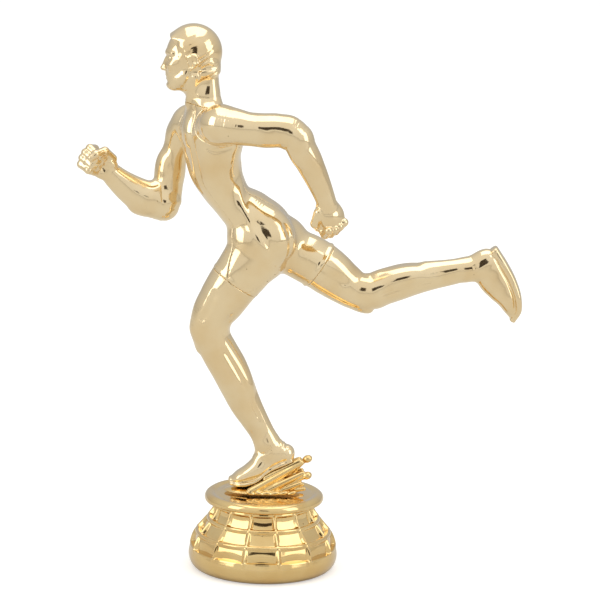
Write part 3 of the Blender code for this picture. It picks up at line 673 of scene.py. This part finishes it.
rightForearm = [
    (-27.4, 9.9, 92.7, 3.0, 3.0, 0), (-28.2, 9.8, 92.4, 3.7, 3.4, 0),
    (-30.4, 9.2, 92.9, 4.4, 3.7, 0), (-33.2, 8.6, 94.3, 4.3, 3.6, 0),
    (-36.0, 8.0, 96.1, 3.8, 3.2, 0), (-39.0, 7.0, 98.6, 3.1, 2.6, 0),
    (-41.4, 6.1, 101.0, 2.6, 2.2, 0),
]
neck = [
    (-17.6, 0.0, 117.2, 3.4, 3.8, 0), (-17.8, 0.0, 120.6, 3.7, 3.7, 0),
    (-18.1, 0.0, 123.4, 4.0, 3.6, 0), (-18.6, 0.0, 127.6, 4.3, 3.8, 0),
]
leftHem = ((-8.6, -3.6, 75.1), (-0.56, 0.0, -0.83))
rightHem = ((12.8, 4.3, 78.2), (0.836, 0.04, -0.548))
collar = ((-17.8, 0.0, 119.6), (0.12, 0.0, 1.0))
parting = ((-7.8, -5.0, 95.0), (0.272, -1.0, 0.1705))

# half of the hairline between two glued pieces, and its rounded lip
seam = {"half": 0.015, "edge": 0.09}

# the grid cell that each skin is drawn on
fineness = {"torso": 0.26, "arm": 0.2, "leg": 0.22, "head": 0.15, "ground": 0.17}

# chest axes: forward, towards the near side, up
chestCentre = np.array([-15.9, 0.0, 110.5])
forward, nearSide, upward = np.array([-0.927, -0.375, 0]), np.array([0.375, -0.927, 0]), np.array([0, 0, 1.0])


def onChest(front, side, rise):
    return chestCentre + forward * front + nearSide * side + upward * rise


def torsoShapes():
    chestAxes = [forward, nearSide, upward]
    shapes = [limb(trunk, 1.5, 2.3)]
    for side in (1, -1):
        shapes += [
            blob(onChest(-3.6, 5.2 * side, 2.0), (3.0, 4.4, 5.6), 2.0, chestAxes),           # shoulder blade
            # broad back muscle, then neck to shoulder
            cone(onChest(-1.5, 9.0 * side, 1.5), onChest(-0.6, 6.6 * side, -9.0), 2.9, 1.8, 2.6),
            cone(onChest(-0.4, 1.6 * side, 9.4), onChest(-1.2, 8.2 * side, 6.0), 2.0, 2.2, 2.4),
        ]
    shapes += [
        blob((-14.9, -5.7, 113.8), (3.5, 3.5, 4.1), 1.2),                  # near and far halves of the breast
        blob((-20.2, -1.2, 112.8), (2.3, 3.4, 4.4), 1.2),
        blob((1.2, -3.6, 87.2), (5.0, 4.8, 6.2), 1.2, tilt=-24),           # near buttock
        blob((2.8, 4.0, 85.3), (5.7, 5.0, 5.5), 1.6, tilt=20),             # far buttock
        limb(leftThigh, 2.2), limb(rightThigh, 2.2),
    ]
    return shapes


torsoOnly = sculpt(torsoShapes())


def onNearSkin(field, path):
    # slides each knot of a path in from the near side until it meets the skin
    knots = np.array([(x, -24.0, z) for x, z in path])
    for _ in range(36):
        knots[:, 1] += 0.85 * np.clip(field(knots), -1.0, 2.4)
    return knots


def breastGroove(points):
    # a soft groove along the parting line down the middle of the breast
    gap = beyond(parting)(points)
    x, z = points[:, 0], points[:, 2]
    fade = ease((z - 99) / 5) * ease((120.5 - z) / 3) * ease((-14.8 - x) / 1.5)
    return 0.5 * fade * np.exp(-(gap / 0.8) ** 2)


breastBone = {"change": breastGroove, "low": np.array([-26.0, -14.0, 99.0]),
              "high": np.array([-14.0, 4.0, 121.0])}


def hemBand(joint, height):
    # a raised edge round the shorts' leg, just inside the joint: height times exp(-(d / 0.5)^2)
    point = np.asarray(joint[0])

    def change(points):
        return -height * np.exp(-((beyond(joint)(points) + 0.55) / 0.5) ** 2)

    return {"change": change, "low": point - 9.5, "high": point + 9.5}


def torsoDetails():
    near = lambda *path: onNearSkin(torsoOnly, path)
    return [
        hemBand(leftHem, 0.1), hemBand(rightHem, 0.28), breastBone,
        # fold under the breast, then two lines from flank to seat, then between the buttocks
        crease(near((-17.2, 110.9), (-14.6, 109.4), (-11.6, 109.9), (-8.6, 111.0)), 0.8, 0.35),
        crease(near((-8.4, 106.6), (-7.6, 101.2), (-7.2, 95.7), (-5.2, 91.2), (-2.4, 86.4), (0.0, 82.0),
                    (1.6, 78.0)), 1.1, -0.26),
        crease(near((-6.2, 98.0), (-5.2, 94.6), (-3.2, 90.8), (-0.4, 86.4), (1.8, 82.0), (2.6, 78.4)),
               1.2, 0.24),
        crease(near((3.2, 91.4), (4.9, 88.0), (5.3, 84.6), (4.2, 81.0), (2.9, 77.9)), 0.7, 0.8),
        crease([onChest(-6.4, 0, 7), onChest(-6.6, 0, 0), onChest(-6.4, 0, -7), (-4.6, 1.5, 96.0)], 1.0, 0.6),
        # belly muscles, then ribs
        swell((-14.6, -6.6, 103.8), (2.4, 2.2, 1.3), 0.2),
        swell((-13.6, -6.2, 100.6), (2.2, 2.2, 1.2), 0.15),
        swell((-12.4, -8.4, 106.4), (2.6, 2.4, 1.1), 0.22),
        swell((-12.6, -7.4, 103.2), (2.4, 2.4, 1.0), 0.18),
    ]


def armShapes(upper, fore, shoulderBall, muscles):
    return [limb(upper, 1.4), limb(fore, 1.8), blob(*shoulderBall), *muscles]


def nearArm():
    muscles = [
        cone((-12.6, -11.2, 116.6), (-3.6, -14.6, 116.4), 4.0, 2.4, 1.6),          # shoulder cap
        blob((-1.4, -14.2, 114.2), (4.6, 2.9, 2.8), 1.2),                           # biceps
        blob((0.8, -14.2, 116.8), (5.0, 2.7, 2.3), 1.2),                            # triceps
        cone((5.6, -14.0, 115.6), (6.2, -14.0, 114.2), 1.9, 2.2, 1.6),              # point of the elbow
        blob((7.3, -14.2, 110.6), (3.0, 2.7, 4.6), 1.2, tilt=-24),                  # forearm
        blob((9.1, -13.6, 108.8), (2.5, 2.3, 4.4), 1.2, tilt=-26),
    ]
    return armShapes(leftUpperArm, leftForearm, ((-13.0, -10.8, 116.0), (5.0, 4.4, 4.7), 1.0), muscles)


def farArm():
    muscles = [
        cone((-21.0, 10.4, 113.2), (-24.6, 12.4, 105.0), 3.7, 2.4, 1.6),
        blob((-27.1, 11.0, 101.2), (2.5, 2.8, 4.4), 1.2),
        blob((-24.3, 11.4, 101.4), (2.2, 2.7, 4.8), 1.2),
        blob((-31.0, 9.0, 94.2), (4.6, 3.0, 3.0), 1.4, tilt=-26),
        blob((-31.6, 8.8, 92.6), (4.6, 2.8, 2.6), 1.4, tilt=-24),
        blob((-27.2, 9.8, 91.7), (3.5, 3.3, 3.3), 2.0),                             # elbow
    ]
    return armShapes(rightUpperArm, rightForearm, ((-20.9, 9.6, 113.2), (4.4, 4.2, 4.5), 1.0), muscles)


def fist(origin, reachWay, backWay, size, thumbTuck):
    # a loose fist: palm, four bent fingers and a thumb; hand axes are knuckles, back of hand, thumb side
    d = unit(reachWay)
    n = np.asarray(backWay, float)
    n = unit(n - d * (n @ d))
    s = np.cross(d, n) if thumbTuck > 0 else np.cross(n, d)

    def at(reach, side, lift):
        return np.asarray(origin) + size * (d * reach + s * side + n * lift)

    shapes = [blob(at(2.0, -0.1, 0.1), np.array([2.7, 2.2, 1.25]) * size, 0.9, [d, s, n]),
              blob(at(0.9, 1.2, -0.7), np.array([1.9, 1.0, 1.0]) * size, 0.7, [d, s, n]),    # ball of the thumb
              blob(at(1.0, -1.2, -0.6), np.array([1.9, 0.9, 0.9]) * size, 0.7, [d, s, n]),
              blob(at(3.1, 0.0, -1.3), np.array([1.6, 2.0, 1.5]) * size, 0.5, [d, s, n])]
    for finger in range(4):
        side = (1.5 - finger) * 1.06
        long = (0.0, 0.22, 0.12, -0.25)[finger]
        bends = [at(3.7 + long, side, 0.75), at(4.7 + long, side * 0.97, -1.0),
                 at(3.1, side * 0.95, -2.3), at(1.9, side * 0.92, -1.5)]
        for first, (a, b) in enumerate(zip(bends, bends[1:])):
            shapes.append(cone(a, b, (0.74 - 0.04 * first) * size, (0.70 - 0.05 * first) * size, 0.32))
    thumb = [at(0.5, 1.9, -0.4), at(2.4, 2.5, -1.5), at(3.6, 1.5, -2.7), at(4.0, 0.6, -3.05)]
    for first, (a, b) in enumerate(zip(thumb, thumb[1:])):
        shapes.append(cone(a, b, (0.86 - 0.08 * first) * size, (0.78 - 0.08 * first) * size, 0.3))
    return shapes


def shoeShapes(upper, sole, ankle):
    return [limb(upper, 1.4, 2.3, 0.35), limb(sole, 0.16, 3.2, 0.35), ankle]


# head: the features share out the head's height as drawing books do, placed from the centre of the skull

headCentre = np.array([-20.8, 0.0, 131.2])


def onHead(front, side, rise):
    return headCentre + np.array([-front, -side, rise])


def headShapes():
    shapes = [
        blob(onHead(-0.7, 0, 1.3), (6.6, 5.2, 6.6), 1.5),
        blob(onHead(1.9, 0, -2.2), (4.4, 4.1, 6.2), 1.8),
        blob(onHead(2.0, 0, -5.0), (3.7, 3.3, 2.9), 1.6, tilt=10),
        blob(onHead(4.5, 0, -7.0), (1.5, 1.6, 1.25), 1.2),                # chin
        cone(onHead(5.5, 0, 0.5), onHead(6.75, 0, -2.7), 0.5, 0.62, 0.7),   # nose
        blob(onHead(6.7, 0, -2.95), (0.8, 0.8, 0.6), 0.4),
        cone(onHead(5.1, -0.9, -4.75), onHead(5.1, 0.9, -4.75), 0.45, 0.45, 0.35),
        blob(onHead(5.55, 0, -4.7), (0.6, 1.35, 0.38), 0.3),              # upper lip
        blob(onHead(5.45, 0, -5.42), (0.6, 1.15, 0.42), 0.3),             # lower lip
    ]
    for side in (1, -1):
        shapes += [
            blob(onHead(3.9, 2.75 * side, -1.9), (1.8, 1.5, 1.6), 1.4),   # cheek bone
            cone(onHead(5.6, 0.9 * side, 1.1), onHead(4.5, 3.2 * side, 1.15), 0.62, 0.5, 0.9),    # brow
            blob(onHead(5.95, 0.72 * side, -3.0), (0.75, 0.5, 0.5), 0.35),
            cone(onHead(1.4, 3.6 * side, -4.0), onHead(4.2, 1.5 * side, -7.0), 1.1, 0.9, 1.6),    # jaw line
        ]
    return shapes


def faceDetails():
    lips = [onHead(6.1, -1.25, -5.05), onHead(6.2, 0, -5.08), onHead(6.1, 1.25, -5.05)]
    details = [crease(lips, 0.22, 0.3),
               swell(onHead(5.9, 0, -6.35), (0.9, 1.6, 0.5), -0.25),
               swell(onHead(6.4, 0, -3.95), (0.5, 0.3, 0.5), -0.12),
               swell(onHead(5.8, 0, 0.35), (0.8, 0.9, 0.7), -0.3)]
    for side in (1, -1):
        fold = [onHead(5.9, 1.3 * side, -3.1), onHead(5.3, 1.9 * side, -4.2), onHead(5.0, 2.0 * side, -5.0)]
        details += [
            swell(onHead(5.6, 2.0 * side, -0.35), (1.4, 1.15, 0.85), -1.0),    # eye socket
            crease(fold, 0.35, 0.14),
            swell(onHead(2.6, 4.3 * side, -3.3), (2.0, 1.4, 2.0), -0.35),      # under the cheek bone
            swell(onHead(3.6, 4.2 * side, 1.6), (1.2, 1.4, 1.6), -0.3),        # temple
        ]
    return details


def eyeShapes():
    # an eyeball in the socket, with two lids that leave an almond open
    shapes = []
    for side in (1, -1):
        centre = onHead(4.62, 1.95 * side, -0.3)
        ball = blob(centre, (1.0, 1.0, 1.0), 0.12)

        def lids(points, centre=centre):
            local = points - centre
            shell = np.linalg.norm(local, axis=1) - 1.16
            opening = np.abs(local[:, 2] + 0.03) - 0.42 * (1 - np.clip(np.abs(local[:, 1]) / 1.15, 0, 1) ** 2)
            return cutBy(shell, -opening, 0.12)

        shapes += [ball, shape(lids, centre - 1.2, centre + 1.2, 0.18)]
    return shapes


def earShapes():
    # a tilted ring for the rim, a lobe below and a small bowl inside
    shapes = []
    for side in (1, -1):
        middle = onHead(-0.5, 4.75 * side, -0.7)
        turn = np.linspace(-0.65 * np.pi, 1.05 * np.pi, 12)
        rim = np.stack([middle[0] + 1.0 * np.cos(turn) + 0.28 * np.sin(turn),
                        middle[1] - side * (0.55 + 0.28 * np.cos(turn)), middle[2] + 1.55 * np.sin(turn)], 1)
        shapes.append(blob(middle + np.array([0, -0.1 * side, 0]), (1.0, 0.75, 1.5), 0.5))
        for a, b in zip(rim, rim[1:]):
            shapes.append(cone(a, b, 0.27, 0.27, 0.14))
        shapes.append(blob(middle + np.array([-0.55, -0.42 * side, -1.75]), (0.5, 0.35, 0.55), 0.35))
        shapes.append(blob(middle + np.array([-0.95, -0.45 * side, -0.2]), (0.3, 0.3, 0.45), 0.2))
    return shapes


def hairChange(points):
    # a cap half a millimetre thick behind a wavy hair line, smooth on top and combed into locks
    # at the side and nape
    local = points - headCentre
    front, side, rise = -local[:, 0], np.abs(local[:, 1]), local[:, 2]
    lineNormal = unit([-0.80, 0.60])
    wander = 0.35 * np.sin(1.3 * side + 0.9 * rise) + 0.2 * np.sin(2.6 * side - 1.7 * rise + 1.0)
    ahead = (front - 3.2) * lineNormal[0] + (rise - 3.2) * lineNormal[1] + wander
    temple = np.minimum(ahead, rise + 1.6)
    nape = np.minimum(-1.9 - front, rise + 6.2 + 0.25 * front)
    crown = np.minimum(rise - 4.6 + 0.12 * side + 0.5 * wander, 6.4 - front)
    edge = np.maximum(np.maximum(temple, nape), crown)
    cover = ease((edge + 0.15) / 1.1)
    sweepBack = rise * 0.9 + front * 0.42
    lock = np.sin(2 * np.pi * (sweepBack + 0.5 * np.sin(0.9 * front + 0.8 * rise + 0.6 * side)) / 1.7)
    parted = np.abs(lock) ** 0.7 * np.sign(lock)
    low = ease((side - 2.4) / 1.8) * (0.10 + 0.90 * ease((2.4 - rise) / 3.4)) * ease((2.8 - front) / 2.4)
    fringe = np.exp(-((front - 5.0) / 1.2) ** 2 - ((rise - 5.0) / 1.3) ** 2)
    return -cover * (0.5 + 0.17 * low * parted + fringe * (0.3 + 0.12 * np.sin(2.2 * local[:, 1] + 1.0)))


hair = {"change": hairChange, "low": headCentre - 9.5, "high": headCentre + 10.5}


def neckShapes():
    shapes = [limb(neck, 1.6)]
    for side in (1, -1):
        # the strap at the side of the neck, then the muscle at its back
        shapes.append(cone(onHead(-1.4, 3.8 * side, -4.6), (-21.0, -0.9 * side, 119.6), 0.95, 0.8, 1.2))
        shapes.append(cone(onHead(-4.6, 1.9 * side, -3.0), (-15.2, -2.4 * side, 119.0), 1.9, 2.0, 2.0))
    shapes.append(blob((-21.6, 0, 123.2), (0.8, 0.8, 0.9), 1.0))
    return shapes


# fields of the whole runner, and the pieces cut from them

leftLegShapes = [
    limb(leftShank, 1.4),
    *shoeShapes(leftShoe, leftSole, cone((0.4, 0, 32.4), (1.4, 0, 30.2), 2.7, 2.6, 1.4)),
    blob((-11.2, -4.0, 69.0), (3.6, 2.6, 7.4), 1.2, tilt=34),            # inner and outer thigh
    blob((-13.9, -4.6, 63.6), (3.2, 1.6, 3.0), 0.9),
    blob((-18.0, -2.5, 63.0), (1.6, 2.5, 2.4), 0.9),                     # knee cap
    blob((-17.0, -2.4, 58.4), (1.1, 1.2, 2.0), 1.0),
    blob((-7.6, -2.6, 50.6), (3.3, 2.5, 7.0), 0.9, tilt=-28),            # calf, near head
    blob((-8.2, 0.6, 50.2), (3.2, 2.6, 7.2), 0.9, tilt=-28),
    cone((-4.2, -0.8, 43.6), (1.4, 0, 33.6), 1.6, 1.6, 2.0),             # heel tendon
]
rightLegShapes = [
    limb(rightShank, 1.4),
    *shoeShapes(rightShoe, rightSole, cone((50.2, 5, 77.9), (53.0, 5, 78.5), 2.7, 2.7, 1.4)),
    blob((14.6, 3.0, 78.8), (8.0, 3.6, 3.8), 1.2, tilt=32),
    blob((23.6, 2.3, 72.6), (3.2, 1.6, 3.0), 0.9),
    blob((24.0, 4.8, 67.6), (2.6, 2.5, 1.3), 0.9, tilt=20),
    blob((33.6, 3.2, 75.6), (6.6, 2.6, 3.0), 0.9, tilt=-16),
    blob((33.4, 6.2, 75.6), (6.6, 2.6, 3.0), 0.9, tilt=-16),
    cone((40.0, 4.8, 77.9), (50.6, 5, 79.2), 1.6, 1.7, 2.0),
    blob((54.2, 5.0, 80.2), (3.9, 2.6, 2.9), 0.8, tilt=-18),
]
leftLegSkin, rightLegSkin = sculpt(leftLegShapes), sculpt(rightLegShapes)


def pressLeft(*path):
    return onNearSkin(leftLegSkin, path)


def pressRight(*path):
    return onNearSkin(rightLegSkin, path)


def bothSides(knots, middle, width, depth):
    # the same line on the far side of a shoe
    mirrored = knots * [1, -1, 1] + [0, 2 * middle, 0]
    return [crease(knots, width, depth), crease(mirrored, width, depth)]


leftLegDetails = [
    crease(pressLeft((-11.9, 59.8), (-9.0, 54.9), (-6.3, 50.2), (-3.4, 43.6), (-0.6, 37.4)), 0.6, 0.3),
    crease([(-13.2, -8.4, 74.0), (-14.8, -7.0, 68.4), (-16.8, -5.6, 64.6)], 1.0, 0.3),
    crease([(-8.0, -5.8, 70.4), (-10.2, -6.4, 65.0), (-11.0, -6.0, 61.0)], 0.9, 0.3),
    *bothSides(pressLeft((-7.6, 23.1), (-5.0, 23.0), (-2.2, 23.9), (1.3, 26.6), (4.0, 28.2), (6.2, 29.2)),
               0, 0.26, 0.3),
    *bothSides(pressLeft((-2.2, 31.6), (-0.9, 30.4), (0.5, 30.8), (1.5, 32.4)), 0, 0.34, 0.2),       # collar
    crease([(-6.6, -2.6, 23.9), (-5.6, -1.6, 25.4), (-5.2, 0, 26.2), (-5.6, 1.6, 25.4), (-6.6, 2.6, 23.9)],
           0.25, 0.14),
]
rightLegDetails = [
    crease([(27.0, 1.4, 71.0), (31.8, 0.9, 73.0), (37.0, 1.3, 74.4), (43.0, 2.3, 75.8)], 0.6, 0.35),
    crease([(9.0, -1.6, 80.4), (14.6, -1.0, 77.6), (20.4, 0.0, 73.8)], 1.0, 0.3),
    *bothSides(pressRight((56.3, 83.0), (58.2, 79.2), (60.7, 74.8), (62.2, 70.6), (62.1, 67.6)),
               5, 0.26, 0.3),
    *bothSides(pressRight((51.6, 79.8), (52.3, 78.2), (51.6, 76.4)), 5, 0.34, 0.2),
]
nearFist = fist((14.4, -11.0, 96.4), (0.27, 0.12, -0.93), (0.5, -0.85, 0.05), 1.5, 1)
farFist = fist((-41.3, 6.0, 101.3), (-0.83, -0.12, 0.52), (-0.15, 0.97, 0.1), 1.5, -1)

nearArmField = sculpt(nearArm() + nearFist)
farArmField = sculpt(farArm() + farFist)
wholeTorso = sculpt(torsoShapes() + nearArm() + farArm() + neckShapes(), torsoDetails())
headWhole = sculpt(headShapes() + neckShapes() + [limb(trunk, 1.5, 2.3)] + earShapes(),
                   [*faceDetails(), hair])
eyes = sculpt(eyeShapes())
nearArmWhole = sculpt(torsoShapes() + nearArm() + nearFist, torsoDetails())
farArmWhole = sculpt(torsoShapes() + farArm() + farFist, torsoDetails())
leftLegWhole = sculpt(torsoShapes()[-4:] + leftLegShapes, [*torsoDetails(), *leftLegDetails])
rightLegWhole = sculpt(torsoShapes()[-4:] + rightLegShapes, [*torsoDetails(), *rightLegDetails])


def cutPiece(whole, *walls):
    # the part of a field behind every wall, each standing back by half a hairline
    def field(points):
        value = whole(points)
        near = np.flatnonzero(value < 1.0)
        for wall in walls:
            value[near] = cutBy(value[near], wall(points[near]) + seam["half"], seam["edge"])
        return value
    return field


def headZone(points):
    # inside the neck's own column above the collar line
    widen = 7.8 + 1.5 * np.maximum(points[:, 2] - 121.4, 0)
    ring = np.hypot(points[:, 0] + 17.8, points[:, 1]) - widen
    return np.maximum(-beyond(collar)(points), ring)


def sideOfArm(arm):
    return lambda points: 0.5 * (arm(points) - torsoOnly(points))


def outside(wall):
    # the same wall seen from its other side
    return lambda points: -wall(points)


def figurePiece(name, node, field, low, high, cell):
    points, faces = skin(field, low, high, cell)
    writePiece(name, points, faces, figureGold, "figure", [node])
    print(name, "made")


def makeRunner():
    nearArmWall, farArmWall = sideOfArm(nearArmField), sideOfArm(farArmField)
    shells = [("torso_near_shell", "torso_left_shell", outside(beyond(parting))),
              ("torso_far_shell", "torso_right_shell", beyond(parting))]
    for name, node, half in shells:
        field = cutPiece(wholeTorso, beyond(leftHem), beyond(rightHem), outside(headZone),
                         outside(nearArmWall), outside(farArmWall), half)
        figurePiece(name, node, field, (-31, -19, 69), (22, 18, 124), fineness["torso"])
    figurePiece("near_arm", "left_arm", cutPiece(nearArmWhole, nearArmWall),
                (-20, -20, 86), (22, -1, 123), fineness["arm"])
    figurePiece("far_arm", "right_arm", cutPiece(farArmWhole, farArmWall),
                (-51, -3, 86), (-15, 18, 122), fineness["arm"])
    figurePiece("planted_leg", "left_leg", cutPiece(leftLegWhole, outside(beyond(leftHem))),
                (-23, -12, 20.2), (13, 6, 80), fineness["leg"])
    figurePiece("trailing_leg", "right_leg", cutPiece(rightLegWhole, outside(beyond(rightHem))),
                (5, -3, 62), (67, 13, 88), fineness["leg"])

    def headField(points):
        value = headWhole(points)
        near = np.flatnonzero(np.abs(value) < 2)
        value[near] = join(value[near], eyes(points[near]), 0.1)
        return cutBy(value, headZone(points) + seam["half"], seam["edge"])

    figurePiece("head_and_neck", "head", headField, (-30, -8, 118), (-9, 8, 141), fineness["head"])


makeRunner()


# the rough ground under the heel

def makeGround():
    floor = nodeBox("ground_tuft")[0][2]
    shapes = [blob((-0.6, 0, floor - 0.5), (10.2, 5.4, 1.9), 0.7),
              blob((3.4, 0.6, 22.6), (5.4, 2.4, 2.6), 0.7, tilt=-36)]
    for blade in range(6):
        low = (-3.4 + 2.0 * blade, -4.4 + 0.5 * blade, floor + 0.7)
        high = (8.6 + (0.9, -0.6, 1.2, -0.9, 0.6, 1.6)[blade], -1.4 - 0.25 * blade, 28.0 - 1.3 * blade)
        thick = (1.0, 0.8, 1.1, 0.75, 1.0, 0.85)[blade]
        shapes.append(cone(low, high, thick, 0.6 * thick, 0.12))
        farLow, farHigh = (low[0], -low[1], low[2]), (high[0] - 0.4, -high[1], high[2] - 0.3)
        shapes.append(cone(farLow, farHigh, thick, 0.6 * thick, 0.12))
    shapes.append(cone((0.4, -2.2, 24.0), (8.8, -1.2, 28.4), 1.2, 0.7, 0.2))
    shapes.append(cone((0.4, 2.2, 24.0), (8.8, 1.2, 28.2), 1.2, 0.7, 0.2))
    for low, high, side in ((22.0, 28.7, 0.0), (21.4, 24.8, -1.9)):
        shapes.append(cone((3.8, side, low), (10.2, side, high - 0.3), 0.95, 0.62, 0.2))
        shapes.append(blob((10.9, side, high), (1.25, 1.05, 1.0), 0.25, tilt=-20))
    for step in range(6):
        lump = (-3.4 + 2.1 * step, -4.9 + 0.2 * step, floor + 0.4)
        shapes.append(blob(lump, (1.2, 0.6, 0.55), 0.14, tilt=20 - 8 * step))
    leg = sculpt(leftLegShapes)
    rough = sculpt(shapes)
    peg = cone((-4.8, 0, 18), (-4.8, 0, 26), 1.3, 1.3)["distance"]

    def field(points):
        value = cutBy(rough(points), floor + 0.02 - points[:, 2], 0.1)
        value = cutBy(value, 0.12 - leg(points), 0.1)
        return cutBy(value, -peg(points), 0.1)

    points, faces = skin(field, (-12, -7, 19.6), (13.5, 7, 31), fineness["ground"])
    writePiece("rough_ground", points, faces, groundGold, "figure", ["ground_tuft"])
    print("ground made")


makeGround()


# floor, light and camera

def makeStage():
    scene = bpy.context.scene
    scene.view_settings.view_transform = "Standard"
    floorMesh = bpy.data.meshes.new("floor")
    floorMesh.from_pydata([(-3, -3, 0), (3, -3, 0), (3, 3, 0), (-3, 3, 0)], [], [(0, 1, 2, 3)])
    floor = bpy.data.objects.new("floor", floorMesh)
    scene.collection.objects.link(floor)
    paper = bpy.data.materials.new("paleMattePaper")
    paper.use_nodes = True
    shader = paper.node_tree.nodes["Principled BSDF"]
    shader.inputs["Base Color"].default_value = linear("#D6D4CF")
    shader.inputs["Roughness"].default_value = 0.9
    shader.inputs["Emission Color"].default_value = (1, 1, 1, 1)
    seen = addNode(paper.node_tree, "ShaderNodeLightPath").outputs["Is Camera Ray"]
    glow = addNode(paper.node_tree, "ShaderNodeMath", {1: 0.5}, {0: seen}, operation="MULTIPLY")
    paper.node_tree.links.new(glow.outputs[0], shader.inputs["Emission Strength"])
    floorMesh.materials.append(paper)

    world = bpy.data.worlds.new("lightTent")
    scene.world = world
    world.use_nodes = True
    tree = world.node_tree
    tree.nodes.clear()
    way = addNode(tree, "ShaderNodeTexCoord").outputs["Generated"]
    lean = addNode(tree, "ShaderNodeVectorMath", {1: (0.0, -0.16, 0.22)}, {0: way}, operation="DOT_PRODUCT")
    level = addNode(tree, "ShaderNodeMath", {1: 0.63}, {0: lean.outputs["Value"]}, operation="ADD")
    tent = addNode(tree, "ShaderNodeBackground", {"Color": (1.0, 0.985, 0.96, 1)},
                   {"Strength": level.outputs[0]})
    white = addNode(tree, "ShaderNodeBackground", {"Color": (1, 1, 1, 1), "Strength": 1.0})
    seen = addNode(tree, "ShaderNodeLightPath").outputs["Is Camera Ray"]
    mix = addNode(tree, "ShaderNodeMixShader", None, {0: seen, 1: tent.outputs[0], 2: white.outputs[0]})
    addNode(tree, "ShaderNodeOutputWorld", None, {"Surface": mix.outputs[0]})


target = Vector((0.00792, 0.0, 0.07008))


def softbox(name, place, size, strength):
    light = bpy.data.lights.new(name, "AREA")
    light.shape = "RECTANGLE"
    light.size, light.size_y = size
    light.energy = strength * math.pi * size[0] * size[1]
    item = bpy.data.objects.new(name, light)
    bpy.context.scene.collection.objects.link(item)
    item.location = place
    item.rotation_euler = (target - Vector(place)).to_track_quat("-Z", "Y").to_euler()
    item.visible_camera = False


def darkCard(name, place, size, colour):
    # a card that only reflections see
    mesh = bpy.data.meshes.new(name)
    w, h = size[0] / 2, size[1] / 2
    mesh.from_pydata([(-w, -h, 0), (w, -h, 0), (w, h, 0), (-w, h, 0)], [], [(0, 1, 2, 3)])
    item = bpy.data.objects.new(name, mesh)
    bpy.context.scene.collection.objects.link(item)
    turn = (target - Vector(place)).to_track_quat("Z", "Y").to_matrix().to_4x4()
    item.matrix_world = Matrix.Translation(place) @ turn
    cloth = bpy.data.materials.new(name + "Cloth")
    cloth.use_nodes = True
    tree = cloth.node_tree
    tree.nodes.clear()
    glow = addNode(tree, "ShaderNodeEmission", {"Color": linear(colour), "Strength": 1.0})
    addNode(tree, "ShaderNodeOutputMaterial", None, {"Surface": glow.outputs[0]})
    mesh.materials.append(cloth)
    item.visible_camera = False
    item.visible_diffuse = False
    item.visible_shadow = False


def makeCamera():
    lift, roll, away = math.radians(12), math.radians(1.5), 0.85
    right = Vector((1, 0, 0))
    ahead = Vector((0, math.cos(lift), -math.sin(lift)))
    up = Vector((0, math.sin(lift), math.cos(lift)))
    across = right * math.cos(roll) + up * math.sin(roll)
    over = up * math.cos(roll) - right * math.sin(roll)
    camera = bpy.data.cameras.new("camera")
    camera.lens, camera.sensor_width = 201.89, 36
    camera.clip_start = 0.01
    item = bpy.data.objects.new("camera", camera)
    bpy.context.scene.collection.objects.link(item)
    turn = Matrix((across, over, -ahead)).transposed().to_4x4()
    item.matrix_world = Matrix.Translation(target - ahead * away) @ turn
    bpy.context.scene.camera = item


makeStage()
softbox("topSoftbox", (0.05, 0.0, 0.95), (0.9, 0.9), 1.1)
softbox("leftSoftbox", (-0.85, -0.55, 0.45), (0.5, 0.8), 1.4)
softbox("rightSoftbox", (0.85, -0.50, 0.45), (0.5, 0.8), 1.2)
darkCard("cameraCard", (0.02, -1.1, 0.34), (0.42, 0.30), "#453E36")
makeCamera()
print("stage made")
